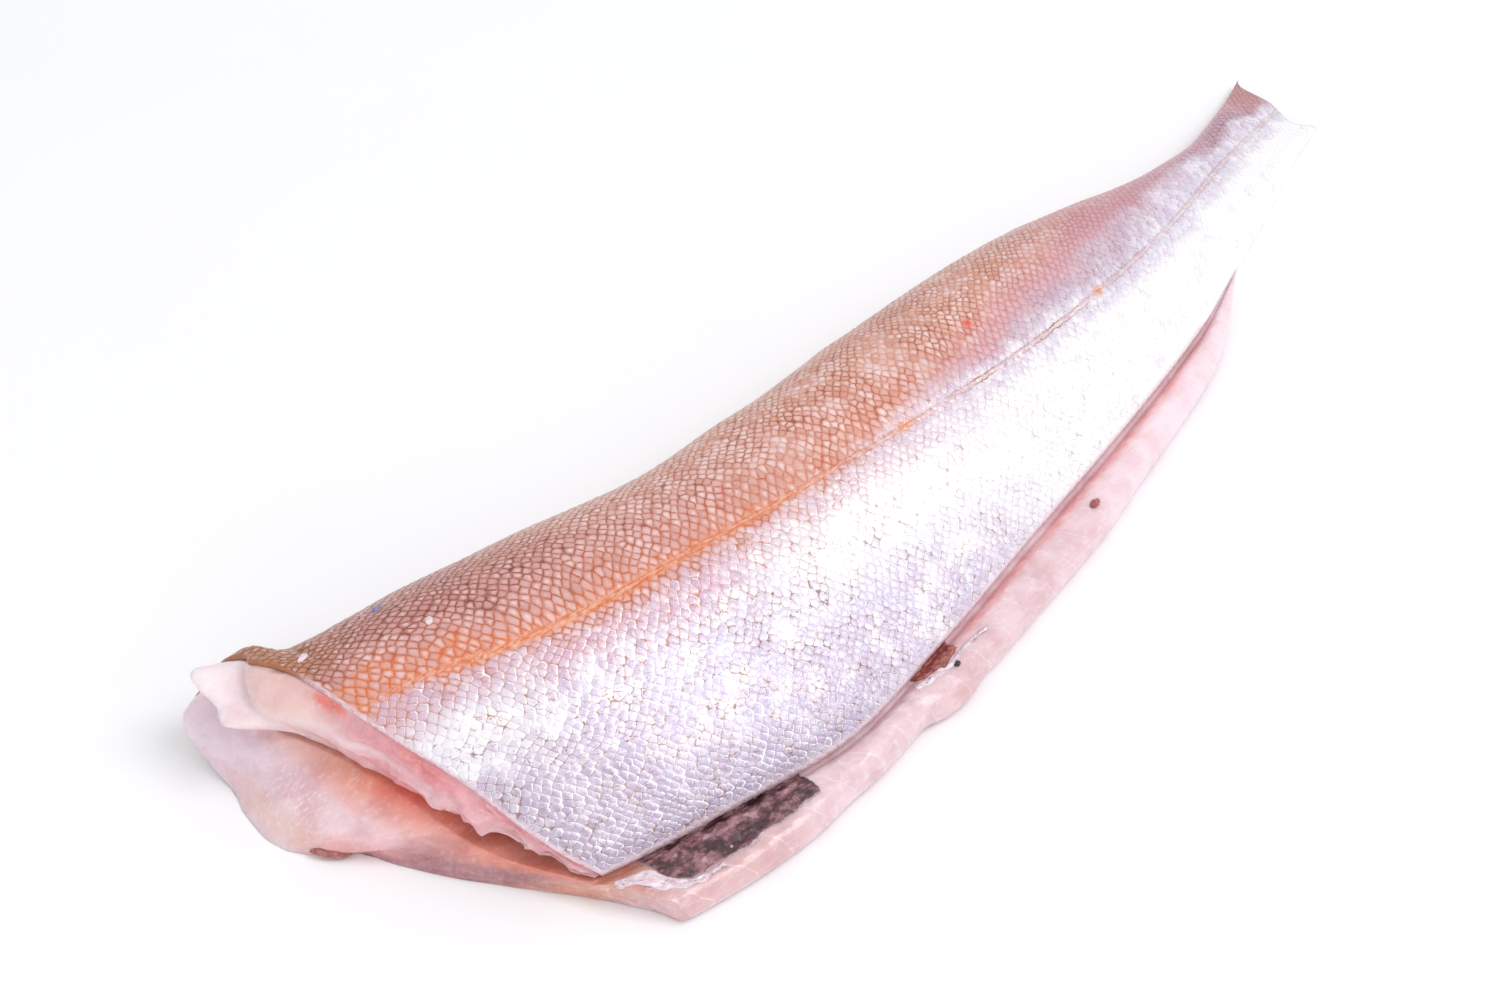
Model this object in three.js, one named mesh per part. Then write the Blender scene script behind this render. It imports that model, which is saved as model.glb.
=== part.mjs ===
// A boned whiting, folded shut: two fillets with their skin on, still joined along the back and at the
// tail. It lies on one side, so one fillet lies over the other, and it is open along the belly and at
// the head end, where the cut flesh of both shows.
// Millimetres. X runs from the head end (-) to the tail (+), Y from the belly (-) to the back (+), Z is up.
import * as THREE from "three";

// ---- driving sizes ---------------------------------------------------------------------------------

const OPENING_END_X = 88; // where the belly cut stops, towards the tail
const OPENING_TAPER = 25; // length over which the opening grows to its full depth
const GRID = { opening: 45, tail: 13, across: 24, throughFlesh: 8 }; // steps along, across and through
const HEAD_CROWDING = 1.45; // above 1 puts more of the steps near the head end
const EDGE_CROWDING = 0.55; // from 0 to 1, how much the steps across draw together at the belly edge
const BACK_SHARE = 0.3; // share of the way from back to belly that the rounded back takes
const TOP_FALL = 1.6; // how late the upper side falls away towards the belly
const RIM_WIDTH = 2.6; // how far in from an edge the rounding starts
const LOWER_RIM_LEVEL = 0.42; // height of the lower fillet's rim, as a share of its thickness there
const FOLD_DEPTH = 9; // flesh left between the back and the fold of the two fillets
const FOLD_SHIFT_START_X = 20; // from here to the end of the opening the fold runs out to the belly
const FOLD_SHIFT_REST = 4; // what is left of the belly cut's depth where the fold ends
const FLAP_FALL = 2.2; // how late the inner side falls away towards the belly
const CLOSED_GAP = 0.6; // between the fillets where they lie on each other
const CLOSED_GAP_LENGTH = 12; // length over which the gap closes at the end of the opening
const MOUTH_GAP = 4.2; // between them at the head end, where they gape
const MOUTH_LENGTH = 30; // how far in from the head end the gape reaches
// Where the gape grows and shrinks, as shares of the way from the fold to the upper belly edge.
const MOUTH = { opensFrom: 0.42, widestFrom: 0.74, closesFrom: 0.78, leftAtEdge: 0.25 };
const FOLD_SHARE = 1 / 12; // the share of that way over which the gap grows out of the fold
const STRIP_RIDGE = 1.1; // the lower fillet's uncovered edge is a low ridge
const STRIP_RIDGE_LEAN = 0.7; // below 1 moves the top of that ridge towards the upper fillet
const WELD = 0.001; // points closer than this are one

// ---- outlines: [x, value] --------------------------------------------------------------------------

const backY = curve([
  [-136, 40],
  [-126, 39.4],
  [-116, 33.4],
  [-108, 31.6],
  [-95, 29.9],
  [-75, 27.6],
  [-45, 24.8],
  [-24, 26.6],
  [0, 29],
  [50, 33.8],
  [88, 32.4],
  [104, 34],
  [120, 39.4],
  [130, 43.7],
  [136, 46.6],
]);
const upperBellyY = curve([
  [-125, -25],
  [-103, -33],
  [-78, -36.5],
  [-57, -38.5],
  [-30, -33.4],
  [0, -25.4],
  [40, -14.4],
  [66, -6],
  [88, 4],
  [110, 13.6],
  [122, 19.6],
  [136, 25.2],
]);
const overhang = curve([
  [-125, 12],
  [-97, 11.8],
  [-84, 11.3],
  [-72, 9.9],
  [-57, 6.5],
  [-40, 5.7],
  [-35, 7.6],
  [-29, 8.5],
  [-24, 7.7],
  [-18, 8],
  [13, 8.6],
  [34, 7.2],
  [65, 5.6],
  [76, 3.4],
  [88, 0],
]);
const lowerBellyY = (x) => upperBellyY(x) - (x < OPENING_END_X ? overhang(x) : 0);
const crestZ = curve([
  [-136, 20],
  [-127, 22.6],
  [-119, 22.2],
  [-113, 23.6],
  [-106, 26],
  [-95, 27.7],
  [-75, 28.2],
  [-45, 26.2],
  [0, 25.4],
  [45, 21],
  [88, 13.4],
  [112, 8.4],
  [128, 4.6],
  [136, 2.8],
]);
const bellySkinZ = curve([
  [-136, 8],
  [-103, 7],
  [-50, 8.2],
  [40, 7.6],
  [88, 6.2],
  [112, 5],
  [128, 3.4],
  [136, 2.2],
]);
// The height of the upper fillet's rim, as a share of the way from its inner side to its skin side.
const upperRimLevel = curve([
  [-136, 0.5],
  [-60, 0.5],
  [0, 0.25],
  [88, 0.2],
]);
const foldZ = curve([
  [-136, 10],
  [-118, 12],
  [-80, 13],
  [0, 12],
  [88, 6.6],
  [136, 2],
]);
const flapZ = curve([
  [-136, 5],
  [-100, 5],
  [-50, 5.4],
  [40, 4.8],
  [88, 3.2],
  [112, 2.5],
  [136, 1.1],
]);
const roundedBackWidth = curve([
  [-136, 17],
  [0, 17.5],
  [88, 11],
  [118, 5.5],
  [136, 4],
]);

// ---- the head cut: [share of the way round, x] -----------------------------------------------------
// The way round goes from the lower fillet's belly edge (-1) past the back (0) to the upper one's (1).

const headCutSkinX = curve([
  [-1, -96.3],
  [-0.95, -97.9],
  [-0.86, -102.9],
  [-0.72, -114],
  [-0.65, -120],
  [-0.6, -123.6],
  [-0.56, -125.4],
  [-0.51, -131],
  [-0.45, -134.6],
  [-0.4, -135.4],
  [-0.33, -134.8],
  [-0.26, -133.2],
  [-0.16, -133.2],
  [-0.06, -132.6],
  [0.02, -126],
  [0.1, -124.2],
  [0.15, -123],
  [0.195, -123.9],
  [0.24, -121.4],
  [0.3, -120.2],
  [0.4, -118.8],
  [0.55, -116.2],
  [0.7, -112.6],
  [0.85, -109.4],
  [0.95, -106],
  [1, -103],
]);
const headCutFoldX = curve([
  [-1, -96.3],
  [-0.8, -105.6],
  [-0.6, -114],
  [-0.3, -120],
  [0, -126.5],
  [0.3, -120.5],
  [0.7, -113.4],
  [1, -103],
]);
// Lumps of muscle standing out of the cut. way is where round the cut, through is how far from the skin
// (0) to the inner side (1), wide and deep are their reach in those two, and move is how far they stand
// out: along the fish, across it and up.
const headLobes = [
  { way: 0.07, through: 0.22, wide: 0.055, deep: 0.26, move: [-5.4, 1, 4.4] },
  { way: 0.105, through: 0.42, wide: 0.05, deep: 0.2, move: [-4, 0.4, 0.4] },
  { way: 0.14, through: 0.7, wide: 0.05, deep: 0.22, move: [-8.6, 0, 1.8] },
  { way: 0.235, through: 0.35, wide: 0.06, deep: 0.4, move: [-5, 0, 0] },
  { way: 0.36, through: 0.6, wide: 0.07, deep: 0.3, move: [-2.4, 0, 0] },
  { way: 0.62, through: 0.6, wide: 0.12, deep: 0.35, move: [-1.6, 0, 0] },
  { way: -0.1, through: 0.2, wide: 0.09, deep: 0.3, move: [-1.6, 0, 0] },
  { way: -0.36, through: 0.5, wide: 0.2, deep: 0.35, move: [-3.6, 0, 0] },
];
const CUT_ROUNDING = 0.14; // share of the way through the flesh over which the lumps rise from its edges
const tailCutX = curve([
  [0, 136],
  [0.24, 133.4],
  [0.5, 134],
  [0.78, 132],
  [1, 136],
]);

// ---- helpers ---------------------------------------------------------------------------------------

// A smooth curve through points whose first values rise, without overshoot between them.
function curve(points) {
  const slope = points.slice(1).map(([x, y], i) => (y - points[i][1]) / (x - points[i][0]));
  const tangent = points.map((_, i) => {
    if (i === 0) return slope[0];
    if (i === points.length - 1) return slope[i - 1];
    const [before, after] = [slope[i - 1], slope[i]];
    return before * after <= 0 ? 0 : (2 * before * after) / (before + after);
  });
  return (x) => {
    let i = 0;
    while (i < points.length - 2 && x > points[i + 1][0]) i++;
    const width = points[i + 1][0] - points[i][0];
    const t = THREE.MathUtils.clamp((x - points[i][0]) / width, 0, 1);
    const [a, b] = [points[i][1], points[i + 1][1]];
    const [da, db] = [tangent[i] * width, tangent[i + 1] * width];
    return a + t * (da + t * (3 * (b - a) - 2 * da - db + t * (2 * (a - b) + da + db)));
  };
}

const mix = THREE.MathUtils.lerp;
const steps = (n) => Array.from({ length: n + 1 }, (_, i) => i / n);

// Draws an outside and an inside height together at the belly edge, as a rounded rim.
function rimmed(z, edgeZ, reach, fromEdge) {
  const into = THREE.MathUtils.clamp(1 - fromEdge / reach, 0, 1);
  return mix(edgeZ, z, Math.sqrt(1 - into * into));
}

// ---- one fillet's surfaces -------------------------------------------------------------------------

// The belly edge of a fillet at x, and the height of the middle of its rim.
function bellyEdge(x, isUpper) {
  const open = THREE.MathUtils.smoothstep(OPENING_END_X - x, 0, OPENING_TAPER);
  const upperZ = mix(flapZ(x), mix(flapZ(x), bellySkinZ(x), upperRimLevel(x)), open);
  if (isUpper) return { y: upperBellyY(x), z: upperZ };
  return { y: lowerBellyY(x), z: flapZ(x) * mix(1, LOWER_RIM_LEVEL, open) };
}

// The skin side of a fillet at x, where across runs from the back (0) to the belly edge (1).
function skinPoint(x, across, isUpper) {
  const edge = bellyEdge(x, isUpper);
  const topZ = isUpper ? crestZ(x) : 0;
  const lowZ = isUpper ? bellySkinZ(x) : 0;
  if (across <= BACK_SHARE) {
    const turn = (across / BACK_SHARE) * (Math.PI / 2);
    const y = backY(x) - roundedBackWidth(x) * (1 - Math.cos(turn));
    return new THREE.Vector3(x, y, mix(foldZ(x), topZ, Math.sin(turn)));
  }
  const along = (across - BACK_SHARE) / (1 - BACK_SHARE);
  const y = mix(backY(x) - roundedBackWidth(x), edge.y, along);
  const z = mix(topZ, lowZ, along ** TOP_FALL);
  return new THREE.Vector3(x, y, rimmed(z, edge.z, RIM_WIDTH, y - edge.y));
}

// How far apart the two fillets lie, at a share of the way from the fold to the upper belly edge.
function gapAt(x, share) {
  const mouthX = headCutFoldX(MOUTH.widestFrom);
  const gape = 1 - THREE.MathUtils.smoothstep(x, mouthX, mouthX + MOUTH_LENGTH);
  const closing = THREE.MathUtils.smoothstep(OPENING_END_X - x, 0, CLOSED_GAP_LENGTH);
  const opens = THREE.MathUtils.smoothstep(share, MOUTH.opensFrom, MOUTH.widestFrom);
  const shrinks = mix(1, MOUTH.leftAtEdge, THREE.MathUtils.smoothstep(share, MOUTH.closesFrom, 1));
  const opened = mix(CLOSED_GAP, MOUTH_GAP, gape * opens * shrinks);
  return opened * closing * Math.min(1, share / FOLD_SHARE);
}

// The inner side of a fillet at x, where across runs from the fold (0) to the belly edge (1).
function fleshPoint(x, across, isUpper) {
  const edge = bellyEdge(x, isUpper);
  const cutDepth = backY(x) - upperBellyY(x);
  const running = THREE.MathUtils.smoothstep(x, FOLD_SHIFT_START_X, OPENING_END_X);
  const foldY = backY(x) - mix(FOLD_DEPTH, cutDepth - FOLD_SHIFT_REST, running);
  const y = mix(foldY, edge.y, across);
  const share = (foldY - y) / (foldY - upperBellyY(x));
  const covered = Math.min(share, 1);
  const startZ = mix(foldZ(x), flapZ(x), running);
  const middleZ = mix(startZ, flapZ(x), covered ** FLAP_FALL);
  const half = gapAt(x, covered) / 2;
  const rim = (z) => rimmed(z, edge.z, RIM_WIDTH, y - edge.y);
  if (isUpper) return new THREE.Vector3(x, y, rim(middleZ + half));
  const stripWidth = upperBellyY(x) - edge.y;
  const beyond = stripWidth > 0 ? THREE.MathUtils.clamp((upperBellyY(x) - y) / stripWidth, 0, 1) : 0;
  const ridge = STRIP_RIDGE * Math.sin(Math.PI * beyond ** STRIP_RIDGE_LEAN);
  const taper = Math.min(1, (OPENING_END_X - x) / OPENING_TAPER);
  return new THREE.Vector3(x, y, rim(middleZ - half + ridge * taper));
}

// ---- the whole surface -----------------------------------------------------------------------------

// The steps from the back or the fold to the belly edge are closest together at the rim.
const acrossSteps = steps(GRID.across).map((s) => mix(s, Math.sin((s * Math.PI) / 2), EDGE_CROWDING));
// The way round as a signed share: the upper belly edge is 1, the lower one -1.
const round = [...acrossSteps.slice().reverse(), ...acrossSteps.slice(1).map((s) => -s)];

function ring(step, pointAt, headX) {
  return round.map((way) => {
    const share = Math.abs(way);
    const openX = () => mix(headX(way), OPENING_END_X, step.t);
    const tailX = () => mix(OPENING_END_X, tailCutX(share), step.t);
    return pointAt(step.part === "opening" ? openX() : tailX(), share, way >= 0);
  });
}

// Triangles between two rows of as many points, facing the viewer who sees the first row below the
// second and both running to the right.
function weave(first, second) {
  return first.slice(1).flatMap((_, i) => [
    [first[i], first[i + 1], second[i + 1]],
    [first[i], second[i + 1], second[i]],
  ]);
}

// The cut face at the head end, from the skin's edge to the inner side, with its lumps of muscle.
function headCut(skinEdge, innerEdge) {
  const rows = steps(GRID.throughFlesh).map((through) =>
    skinEdge.map((point, i) => {
      const flat = point.clone().lerp(innerEdge[i], through);
      return headLobes.reduce((sum, lobe) => sum.add(lobeMove(lobe, round[i], through)), flat);
    }),
  );
  return rows.slice(1).flatMap((row, i) => weave(rows[i], row));
}

function lobeMove(lobe, way, through) {
  const fromMiddle = ((way - lobe.way) / lobe.wide) ** 2 + ((through - lobe.through) / lobe.deep) ** 2;
  const fromEnd = Math.min(1, Math.min(through, 1 - through) / CUT_ROUNDING);
  const held = Math.sqrt(1 - (1 - fromEnd) ** 2);
  return new THREE.Vector3(...lobe.move).multiplyScalar(held * Math.exp(-fromMiddle));
}

function filletSurface() {
  const openSteps = steps(GRID.opening).map((t) => ({ part: "opening", t: t ** HEAD_CROWDING }));
  const tailSteps = steps(GRID.tail).slice(1).map((t) => ({ part: "tail", t }));
  const skin = [...openSteps, ...tailSteps].map((step) => ring(step, skinPoint, headCutSkinX));
  const flesh = openSteps.map((step) => ring(step, fleshPoint, headCutFoldX));
  const end = skin[skin.length - 1];
  const upperEnd = end.slice(0, GRID.across + 1);
  const lowerEnd = end.slice(GRID.across).reverse();
  return [
    ...skin.slice(1).flatMap((row, i) => weave(row, skin[i])),
    ...flesh.slice(1).flatMap((row, i) => weave(flesh[i], row)),
    ...headCut(skin[0], flesh[0]),
    ...weave(lowerEnd, upperEnd),
  ];
}

// Welds the triangles' corners and drops those that have no area.
function solidGeometry(faces) {
  const key = (p) => [p.x, p.y, p.z].map((v) => Math.round(v / WELD)).join();
  const found = new Map();
  const positions = [];
  const indexOf = (p) => {
    if (!found.has(key(p))) {
      found.set(key(p), found.size);
      positions.push(p.x, p.y, p.z);
    }
    return found.get(key(p));
  };
  const indices = faces
    .map((face) => face.map(indexOf))
    .filter(([a, b, c]) => a !== b && b !== c && c !== a);
  const geometry = new THREE.BufferGeometry();
  geometry.setAttribute("position", new THREE.Float32BufferAttribute(positions, 3));
  geometry.setIndex(indices.flat());
  geometry.computeVertexNormals();
  return geometry;
}

// Moves the geometry so that the middle of its box is over the origin and it stands on z = 0.
function seated(geometry) {
  geometry.computeBoundingBox();
  const box = geometry.boundingBox;
  const middle = box.getCenter(new THREE.Vector3());
  return geometry.translate(-middle.x, -middle.y, -box.min.z);
}

// ---- the model -------------------------------------------------------------------------------------

const fish = new THREE.MeshStandardMaterial({ color: "#d9b3ae", roughness: 0.35, metalness: 0 });
const fillet = new THREE.Mesh(seated(solidGeometry(filletSurface())), fish);
fillet.name = "fillet";

const whiting = new THREE.Group();
whiting.add(fillet);

export default whiting;
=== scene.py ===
"""A boned whiting, folded shut: two fillets with their skin on, joined along the back and at the tail.

The pieces are modelled in millimetres in the outline's own frame, where X runs from the head end (-) to
the tail (+), Y from the belly (-) to the back (+) and Z is up. They are turned into metres, and seated
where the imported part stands, when their meshes are made.
"""

import math

import bmesh
import bpy
import numpy as np
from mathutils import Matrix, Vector


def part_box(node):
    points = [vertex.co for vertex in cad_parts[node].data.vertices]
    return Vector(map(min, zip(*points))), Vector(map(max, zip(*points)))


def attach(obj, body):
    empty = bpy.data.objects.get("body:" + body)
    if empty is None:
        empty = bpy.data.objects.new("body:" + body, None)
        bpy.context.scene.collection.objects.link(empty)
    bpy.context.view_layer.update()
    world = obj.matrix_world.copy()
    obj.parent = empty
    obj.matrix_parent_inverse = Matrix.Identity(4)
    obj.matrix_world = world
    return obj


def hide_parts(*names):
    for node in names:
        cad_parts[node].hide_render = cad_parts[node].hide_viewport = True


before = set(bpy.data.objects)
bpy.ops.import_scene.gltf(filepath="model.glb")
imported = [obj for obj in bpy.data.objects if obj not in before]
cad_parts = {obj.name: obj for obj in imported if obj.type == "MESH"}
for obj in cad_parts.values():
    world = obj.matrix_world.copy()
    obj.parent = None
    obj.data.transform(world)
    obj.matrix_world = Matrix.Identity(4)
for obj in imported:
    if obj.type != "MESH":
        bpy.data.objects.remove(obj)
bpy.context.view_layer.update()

# ---- driving sizes, in mm -------------------------------------------------------------------------------

MM = 0.001
OPENING_END_X = 88  # where the belly cut stops, towards the tail
OPENING_TAPER = 25  # length over which the opening grows to its full depth
BACK_SHARE = 0.3  # share of the way from back to belly that the rounded back takes
TOP_FALL = 1.6  # how late the upper side falls away towards the belly
RIM_WIDTH = 2.6  # how far in from an edge the rounding starts
LOWER_RIM_LEVEL = 0.42  # height of the lower fillet's rim, as a share of its thickness there
FOLD_DEPTH = 9  # flesh left between the back and the fold of the two fillets
FOLD_SHIFT_START_X = 20  # from here to the end of the opening the fold runs out to the belly
FOLD_SHIFT_REST = 4  # what is left of the belly cut's depth where the fold ends
FLAP_FALL = 2.2  # how late the inner side falls away towards the belly
CLOSED_GAP = 0.6  # between the fillets where they lie on each other
CLOSED_GAP_LENGTH = 12  # length over which the gap closes at the end of the opening
MOUTH_GAP = 4.2  # between them at the head end, where they gape
MOUTH_LENGTH = 30  # how far in from the head end the gape reaches
MOUTH_OPENS, MOUTH_WIDEST, MOUTH_CLOSES, MOUTH_LEFT = 0.42, 0.74, 0.78, 0.25
FOLD_SHARE = 1 / 12  # the share of that way over which the gap grows out of the fold
SETTLED_GAP = 0.2  # towards the tail the upper flesh lies down: what is left there of the gap
SETTLED_RIM = 0.7  # and how narrow the rounding under its edge is
SETTLED_X = (-50, -5)  # where along the fish it starts to lie down, and where it is all the way down
SETTLED_SHARE = (0.6, 0.9)  # the same on the way from the fold to the upper belly edge
STRIP_RIDGE = 1.1  # the lower fillet's uncovered edge is a low ridge
STRIP_RIDGE_LEAN = 0.7  # below 1 moves the top of that ridge towards the upper fillet
TAIL_TIP = (136, 46.6)  # the outermost point of the outline towards the tail and the back

SKIN_THICKNESS = 1.0
FLESH_UNDER_SKIN = 0.75  # how deep under the skin's outside the flesh starts
FLESH_AT_EDGE = 0.06  # the same where the lower fillet's flesh reaches past its skin
FLESH_BEHIND_EDGE = 0.4  # how far the upper flesh stays behind the skin's edge along the belly
part_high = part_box("fillet")[1]
SEATING = np.array([part_high.x / MM - TAIL_TIP[0], part_high.y / MM - TAIL_TIP[1], 0])


def curve(points):
    """A smooth curve through points whose first values rise, without overshoot between them."""
    x, y = np.array(points, float).T
    slope = np.diff(y) / np.diff(x)
    tangent = np.empty(len(x))
    tangent[0], tangent[-1] = slope[0], slope[-1]
    before, after = slope[:-1], slope[1:]
    same_way = before * after > 0
    total = np.where(same_way, before + after, 1)
    tangent[1:-1] = np.where(same_way, 2 * before * after / total, 0)

    def value(at):
        at = np.asarray(at, float)
        i = np.clip(np.searchsorted(x, at) - 1, 0, len(x) - 2)
        width = x[i + 1] - x[i]
        t = np.clip((at - x[i]) / width, 0, 1)
        a, b, da, db = y[i], y[i + 1], tangent[i] * width, tangent[i + 1] * width
        return a + t * (da + t * (3 * (b - a) - 2 * da - db + t * (2 * (a - b) + da + db)))

    return value


back_y = curve([
    (-136, 40), (-126, 39.4), (-116, 33.4), (-108, 31.6), (-95, 29.9), (-75, 27.6), (-45, 24.8),
    (-24, 26.6), (0, 29), (50, 33.8), (88, 32.4), (104, 34), (120, 39.4), (130, 43.7), (136, 46.6),
])
upper_belly_y = curve([
    (-125, -25), (-103, -33), (-78, -36.5), (-57, -38.5), (-30, -33.4), (0, -25.4), (40, -14.4),
    (66, -6), (88, 4), (110, 13.6), (122, 19.6), (136, 25.2),
])
overhang = curve([
    (-125, 12), (-97, 11.8), (-84, 11.3), (-72, 9.9), (-57, 6.5), (-40, 5.7), (-35, 7.6), (-29, 8.5),
    (-24, 7.7), (-18, 8), (13, 8.6), (34, 7.2), (65, 5.6), (76, 3.4), (88, 0),
])
crest_z = curve([
    (-136, 20), (-127, 22.6), (-119, 22.2), (-113, 23.6), (-106, 26), (-95, 27.7), (-75, 28.2),
    (-45, 26.2), (0, 25.4), (45, 21), (88, 13.4), (112, 8.4), (128, 4.6), (136, 2.8),
])
belly_skin_z = curve([
    (-136, 8), (-103, 7), (-50, 8.2), (40, 7.6), (88, 6.2), (112, 5), (128, 3.4), (136, 2.2),
])
upper_rim_level = curve([(-136, 0.5), (-60, 0.5), (-15, 0.7), (20, 0.8), (88, 0.8)])
fold_z = curve([(-136, 10), (-118, 12), (-80, 13), (0, 12), (88, 6.6), (136, 2)])
flap_z = curve([(-136, 5), (-100, 5), (-50, 5.4), (40, 4.8), (88, 3.2), (112, 2.5), (136, 1.1)])
rounded_back_width = curve([(-136, 17), (0, 17.5), (88, 11), (118, 5.5), (136, 4)])

# The head cut and the tail's end: (share of the way round, x). The way round goes from the lower fillet's
# belly edge (-1) past the back (0) to the upper one's (1).
head_cut_skin_x = curve([
    (-1, -96.3), (-0.95, -97.9), (-0.86, -102.9), (-0.72, -114), (-0.65, -120), (-0.6, -123.6),
    (-0.56, -125.4), (-0.51, -131), (-0.45, -134.6), (-0.4, -135.4), (-0.33, -134.8), (-0.26, -133.2),
    (-0.16, -133.2), (-0.06, -132.6), (0.02, -126), (0.1, -124.2), (0.15, -123), (0.195, -123.9),
    (0.24, -121.4), (0.3, -120.2), (0.4, -118.8), (0.55, -116.2), (0.7, -112.6), (0.85, -109.4),
    (0.95, -106), (1, -103),
])
head_cut_fold_x = curve([
    (-1, -96.3), (-0.8, -105.6), (-0.6, -114), (-0.3, -120), (0, -126.5), (0.3, -120.5),
    (0.7, -113.4), (1, -103),
])
tail_cut_x = curve([(0, 136), (0.24, 133.4), (0.5, 134), (0.78, 132), (1, 136)])

# Lumps of muscle standing out of the head cut: where round the cut, how far from the skin (0) to the
# inner side (1), their reach in those two, and how far they stand out: along the fish, across it and up.
HEAD_LOBES = [
    (0.07, 0.22, 0.055, 0.26, (-5.4, 1, 4.4)),
    (0.105, 0.42, 0.05, 0.2, (-4, 0.4, 0.4)),
    (0.14, 0.7, 0.05, 0.22, (-8.6, 0, 1.8)),
    (0.235, 0.35, 0.06, 0.4, (-5, 0, 0)),
    (0.36, 0.6, 0.07, 0.3, (-2.4, 0, 0)),
    (0.62, 0.6, 0.12, 0.35, (-1.6, 0, 0)),
    (-0.1, 0.2, 0.09, 0.3, (-1.6, 0, 0)),
    (-0.36, 0.5, 0.2, 0.35, (-3.6, 0, 0)),
]
CUT_ROUNDING = 0.14  # share of the way through the flesh over which the lumps rise from its edges

# ---- helpers --------------------------------------------------------------------------------------------


def mix(a, b, t):
    return a + (b - a) * t


def rise(x, low, high):
    """A smooth step from 0 to 1 as x goes from low to high."""
    t = np.clip((np.asarray(x, float) - low) / (high - low), 0, 1)
    return t * t * (3 - 2 * t)


def fall(x, low, high):
    """A smooth step from 1 to 0 as x goes from low to high."""
    return 1 - rise(x, low, high)


def bump_at(x, middle, reach):
    return np.exp(-(((np.asarray(x, float) - middle) / reach) ** 2))


def rimmed(z, edge_z, from_edge, reach=RIM_WIDTH):
    """Draws an outside and an inside height together at the belly edge, as a rounded rim."""
    into = np.clip(1 - from_edge / reach, 0, 1)
    return mix(edge_z, z, np.sqrt(1 - into * into))


NOISE_TABLE = 64  # the noise repeats after so many units
LAYERED_REACH = 1.4  # brings layered noise back to about -1 to 1


def smooth_noise(u, v, seed):
    """Noise from about -1 to 1 with features about one unit across."""
    table = np.random.default_rng(seed).uniform(-1, 1, (NOISE_TABLE, NOISE_TABLE))
    u, v = np.asarray(u, float), np.asarray(v, float)
    i, j = np.floor(u).astype(int), np.floor(v).astype(int)
    fu, fv = u - i, v - j
    fu, fv = fu * fu * (3 - 2 * fu), fv * fv * (3 - 2 * fv)

    def corner(right, up):
        return table[(i + right) % NOISE_TABLE, (j + up) % NOISE_TABLE]

    return mix(mix(corner(0, 0), corner(1, 0), fu), mix(corner(0, 1), corner(1, 1), fu), fv)


def layered_noise(u, v, seed, layers=3):
    total = sum(smooth_noise(u * 2**k, v * 2**k, seed + k) / 2**k for k in range(layers))
    return total / LAYERED_REACH


# ---- one fillet's surfaces ------------------------------------------------------------------------------


def belly_edge(x, is_upper):
    """The belly edge of a fillet at x, and the height of the middle of its rim."""
    opened = rise(OPENING_END_X - x, 0, OPENING_TAPER)
    upper_rim = mix(flap_z(x), mix(flap_z(x), belly_skin_z(x), upper_rim_level(x)), opened)
    lower_rim = flap_z(x) * mix(1, LOWER_RIM_LEVEL, opened)
    lower_y = upper_belly_y(x) - np.where(x < OPENING_END_X, overhang(x), 0)
    return np.where(is_upper, upper_belly_y(x), lower_y), np.where(is_upper, upper_rim, lower_rim)


def skin_point(x, way):
    """The skin side at x, at a signed share of the way round."""
    across, is_upper = np.abs(way), way >= 0
    edge_y, edge_z = belly_edge(x, is_upper)
    top_z = np.where(is_upper, crest_z(x), 0)
    low_z = np.where(is_upper, belly_skin_z(x), 0)
    turn = np.clip(across / BACK_SHARE, 0, 1) * (math.pi / 2)
    back_side_y = back_y(x) - rounded_back_width(x) * (1 - np.cos(turn))
    back_side_z = mix(fold_z(x), top_z, np.sin(turn))
    along = np.clip((across - BACK_SHARE) / (1 - BACK_SHARE), 0, 1)
    flat_y = mix(back_y(x) - rounded_back_width(x), edge_y, along)
    flat_z = rimmed(mix(top_z, low_z, along**TOP_FALL), edge_z, flat_y - edge_y)
    rounded = across <= BACK_SHARE
    y, z = np.where(rounded, back_side_y, flat_y), np.where(rounded, back_side_z, flat_z)
    return np.stack([x, y, z], -1)


def gap_at(x, share):
    """How far apart the two fillets lie, at a share of the way from the fold to the upper belly edge."""
    mouth_x = head_cut_fold_x(MOUTH_WIDEST)
    gape = fall(x, mouth_x, mouth_x + MOUTH_LENGTH)
    closing = rise(OPENING_END_X - x, 0, CLOSED_GAP_LENGTH)
    opens = rise(share, MOUTH_OPENS, MOUTH_WIDEST)
    shrinks = mix(1, MOUTH_LEFT, rise(share, MOUTH_CLOSES, 1))
    return mix(CLOSED_GAP, MOUTH_GAP, gape * opens * shrinks) * closing * np.minimum(1, share / FOLD_SHARE)


def inner_fold_y(x):
    """Where the two fillets part from each other, and how far the fold has run out to the belly there."""
    cut_depth = back_y(x) - upper_belly_y(x)
    running = rise(x, FOLD_SHIFT_START_X, OPENING_END_X)
    return back_y(x) - mix(FOLD_DEPTH, cut_depth - FOLD_SHIFT_REST, running), running


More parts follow.
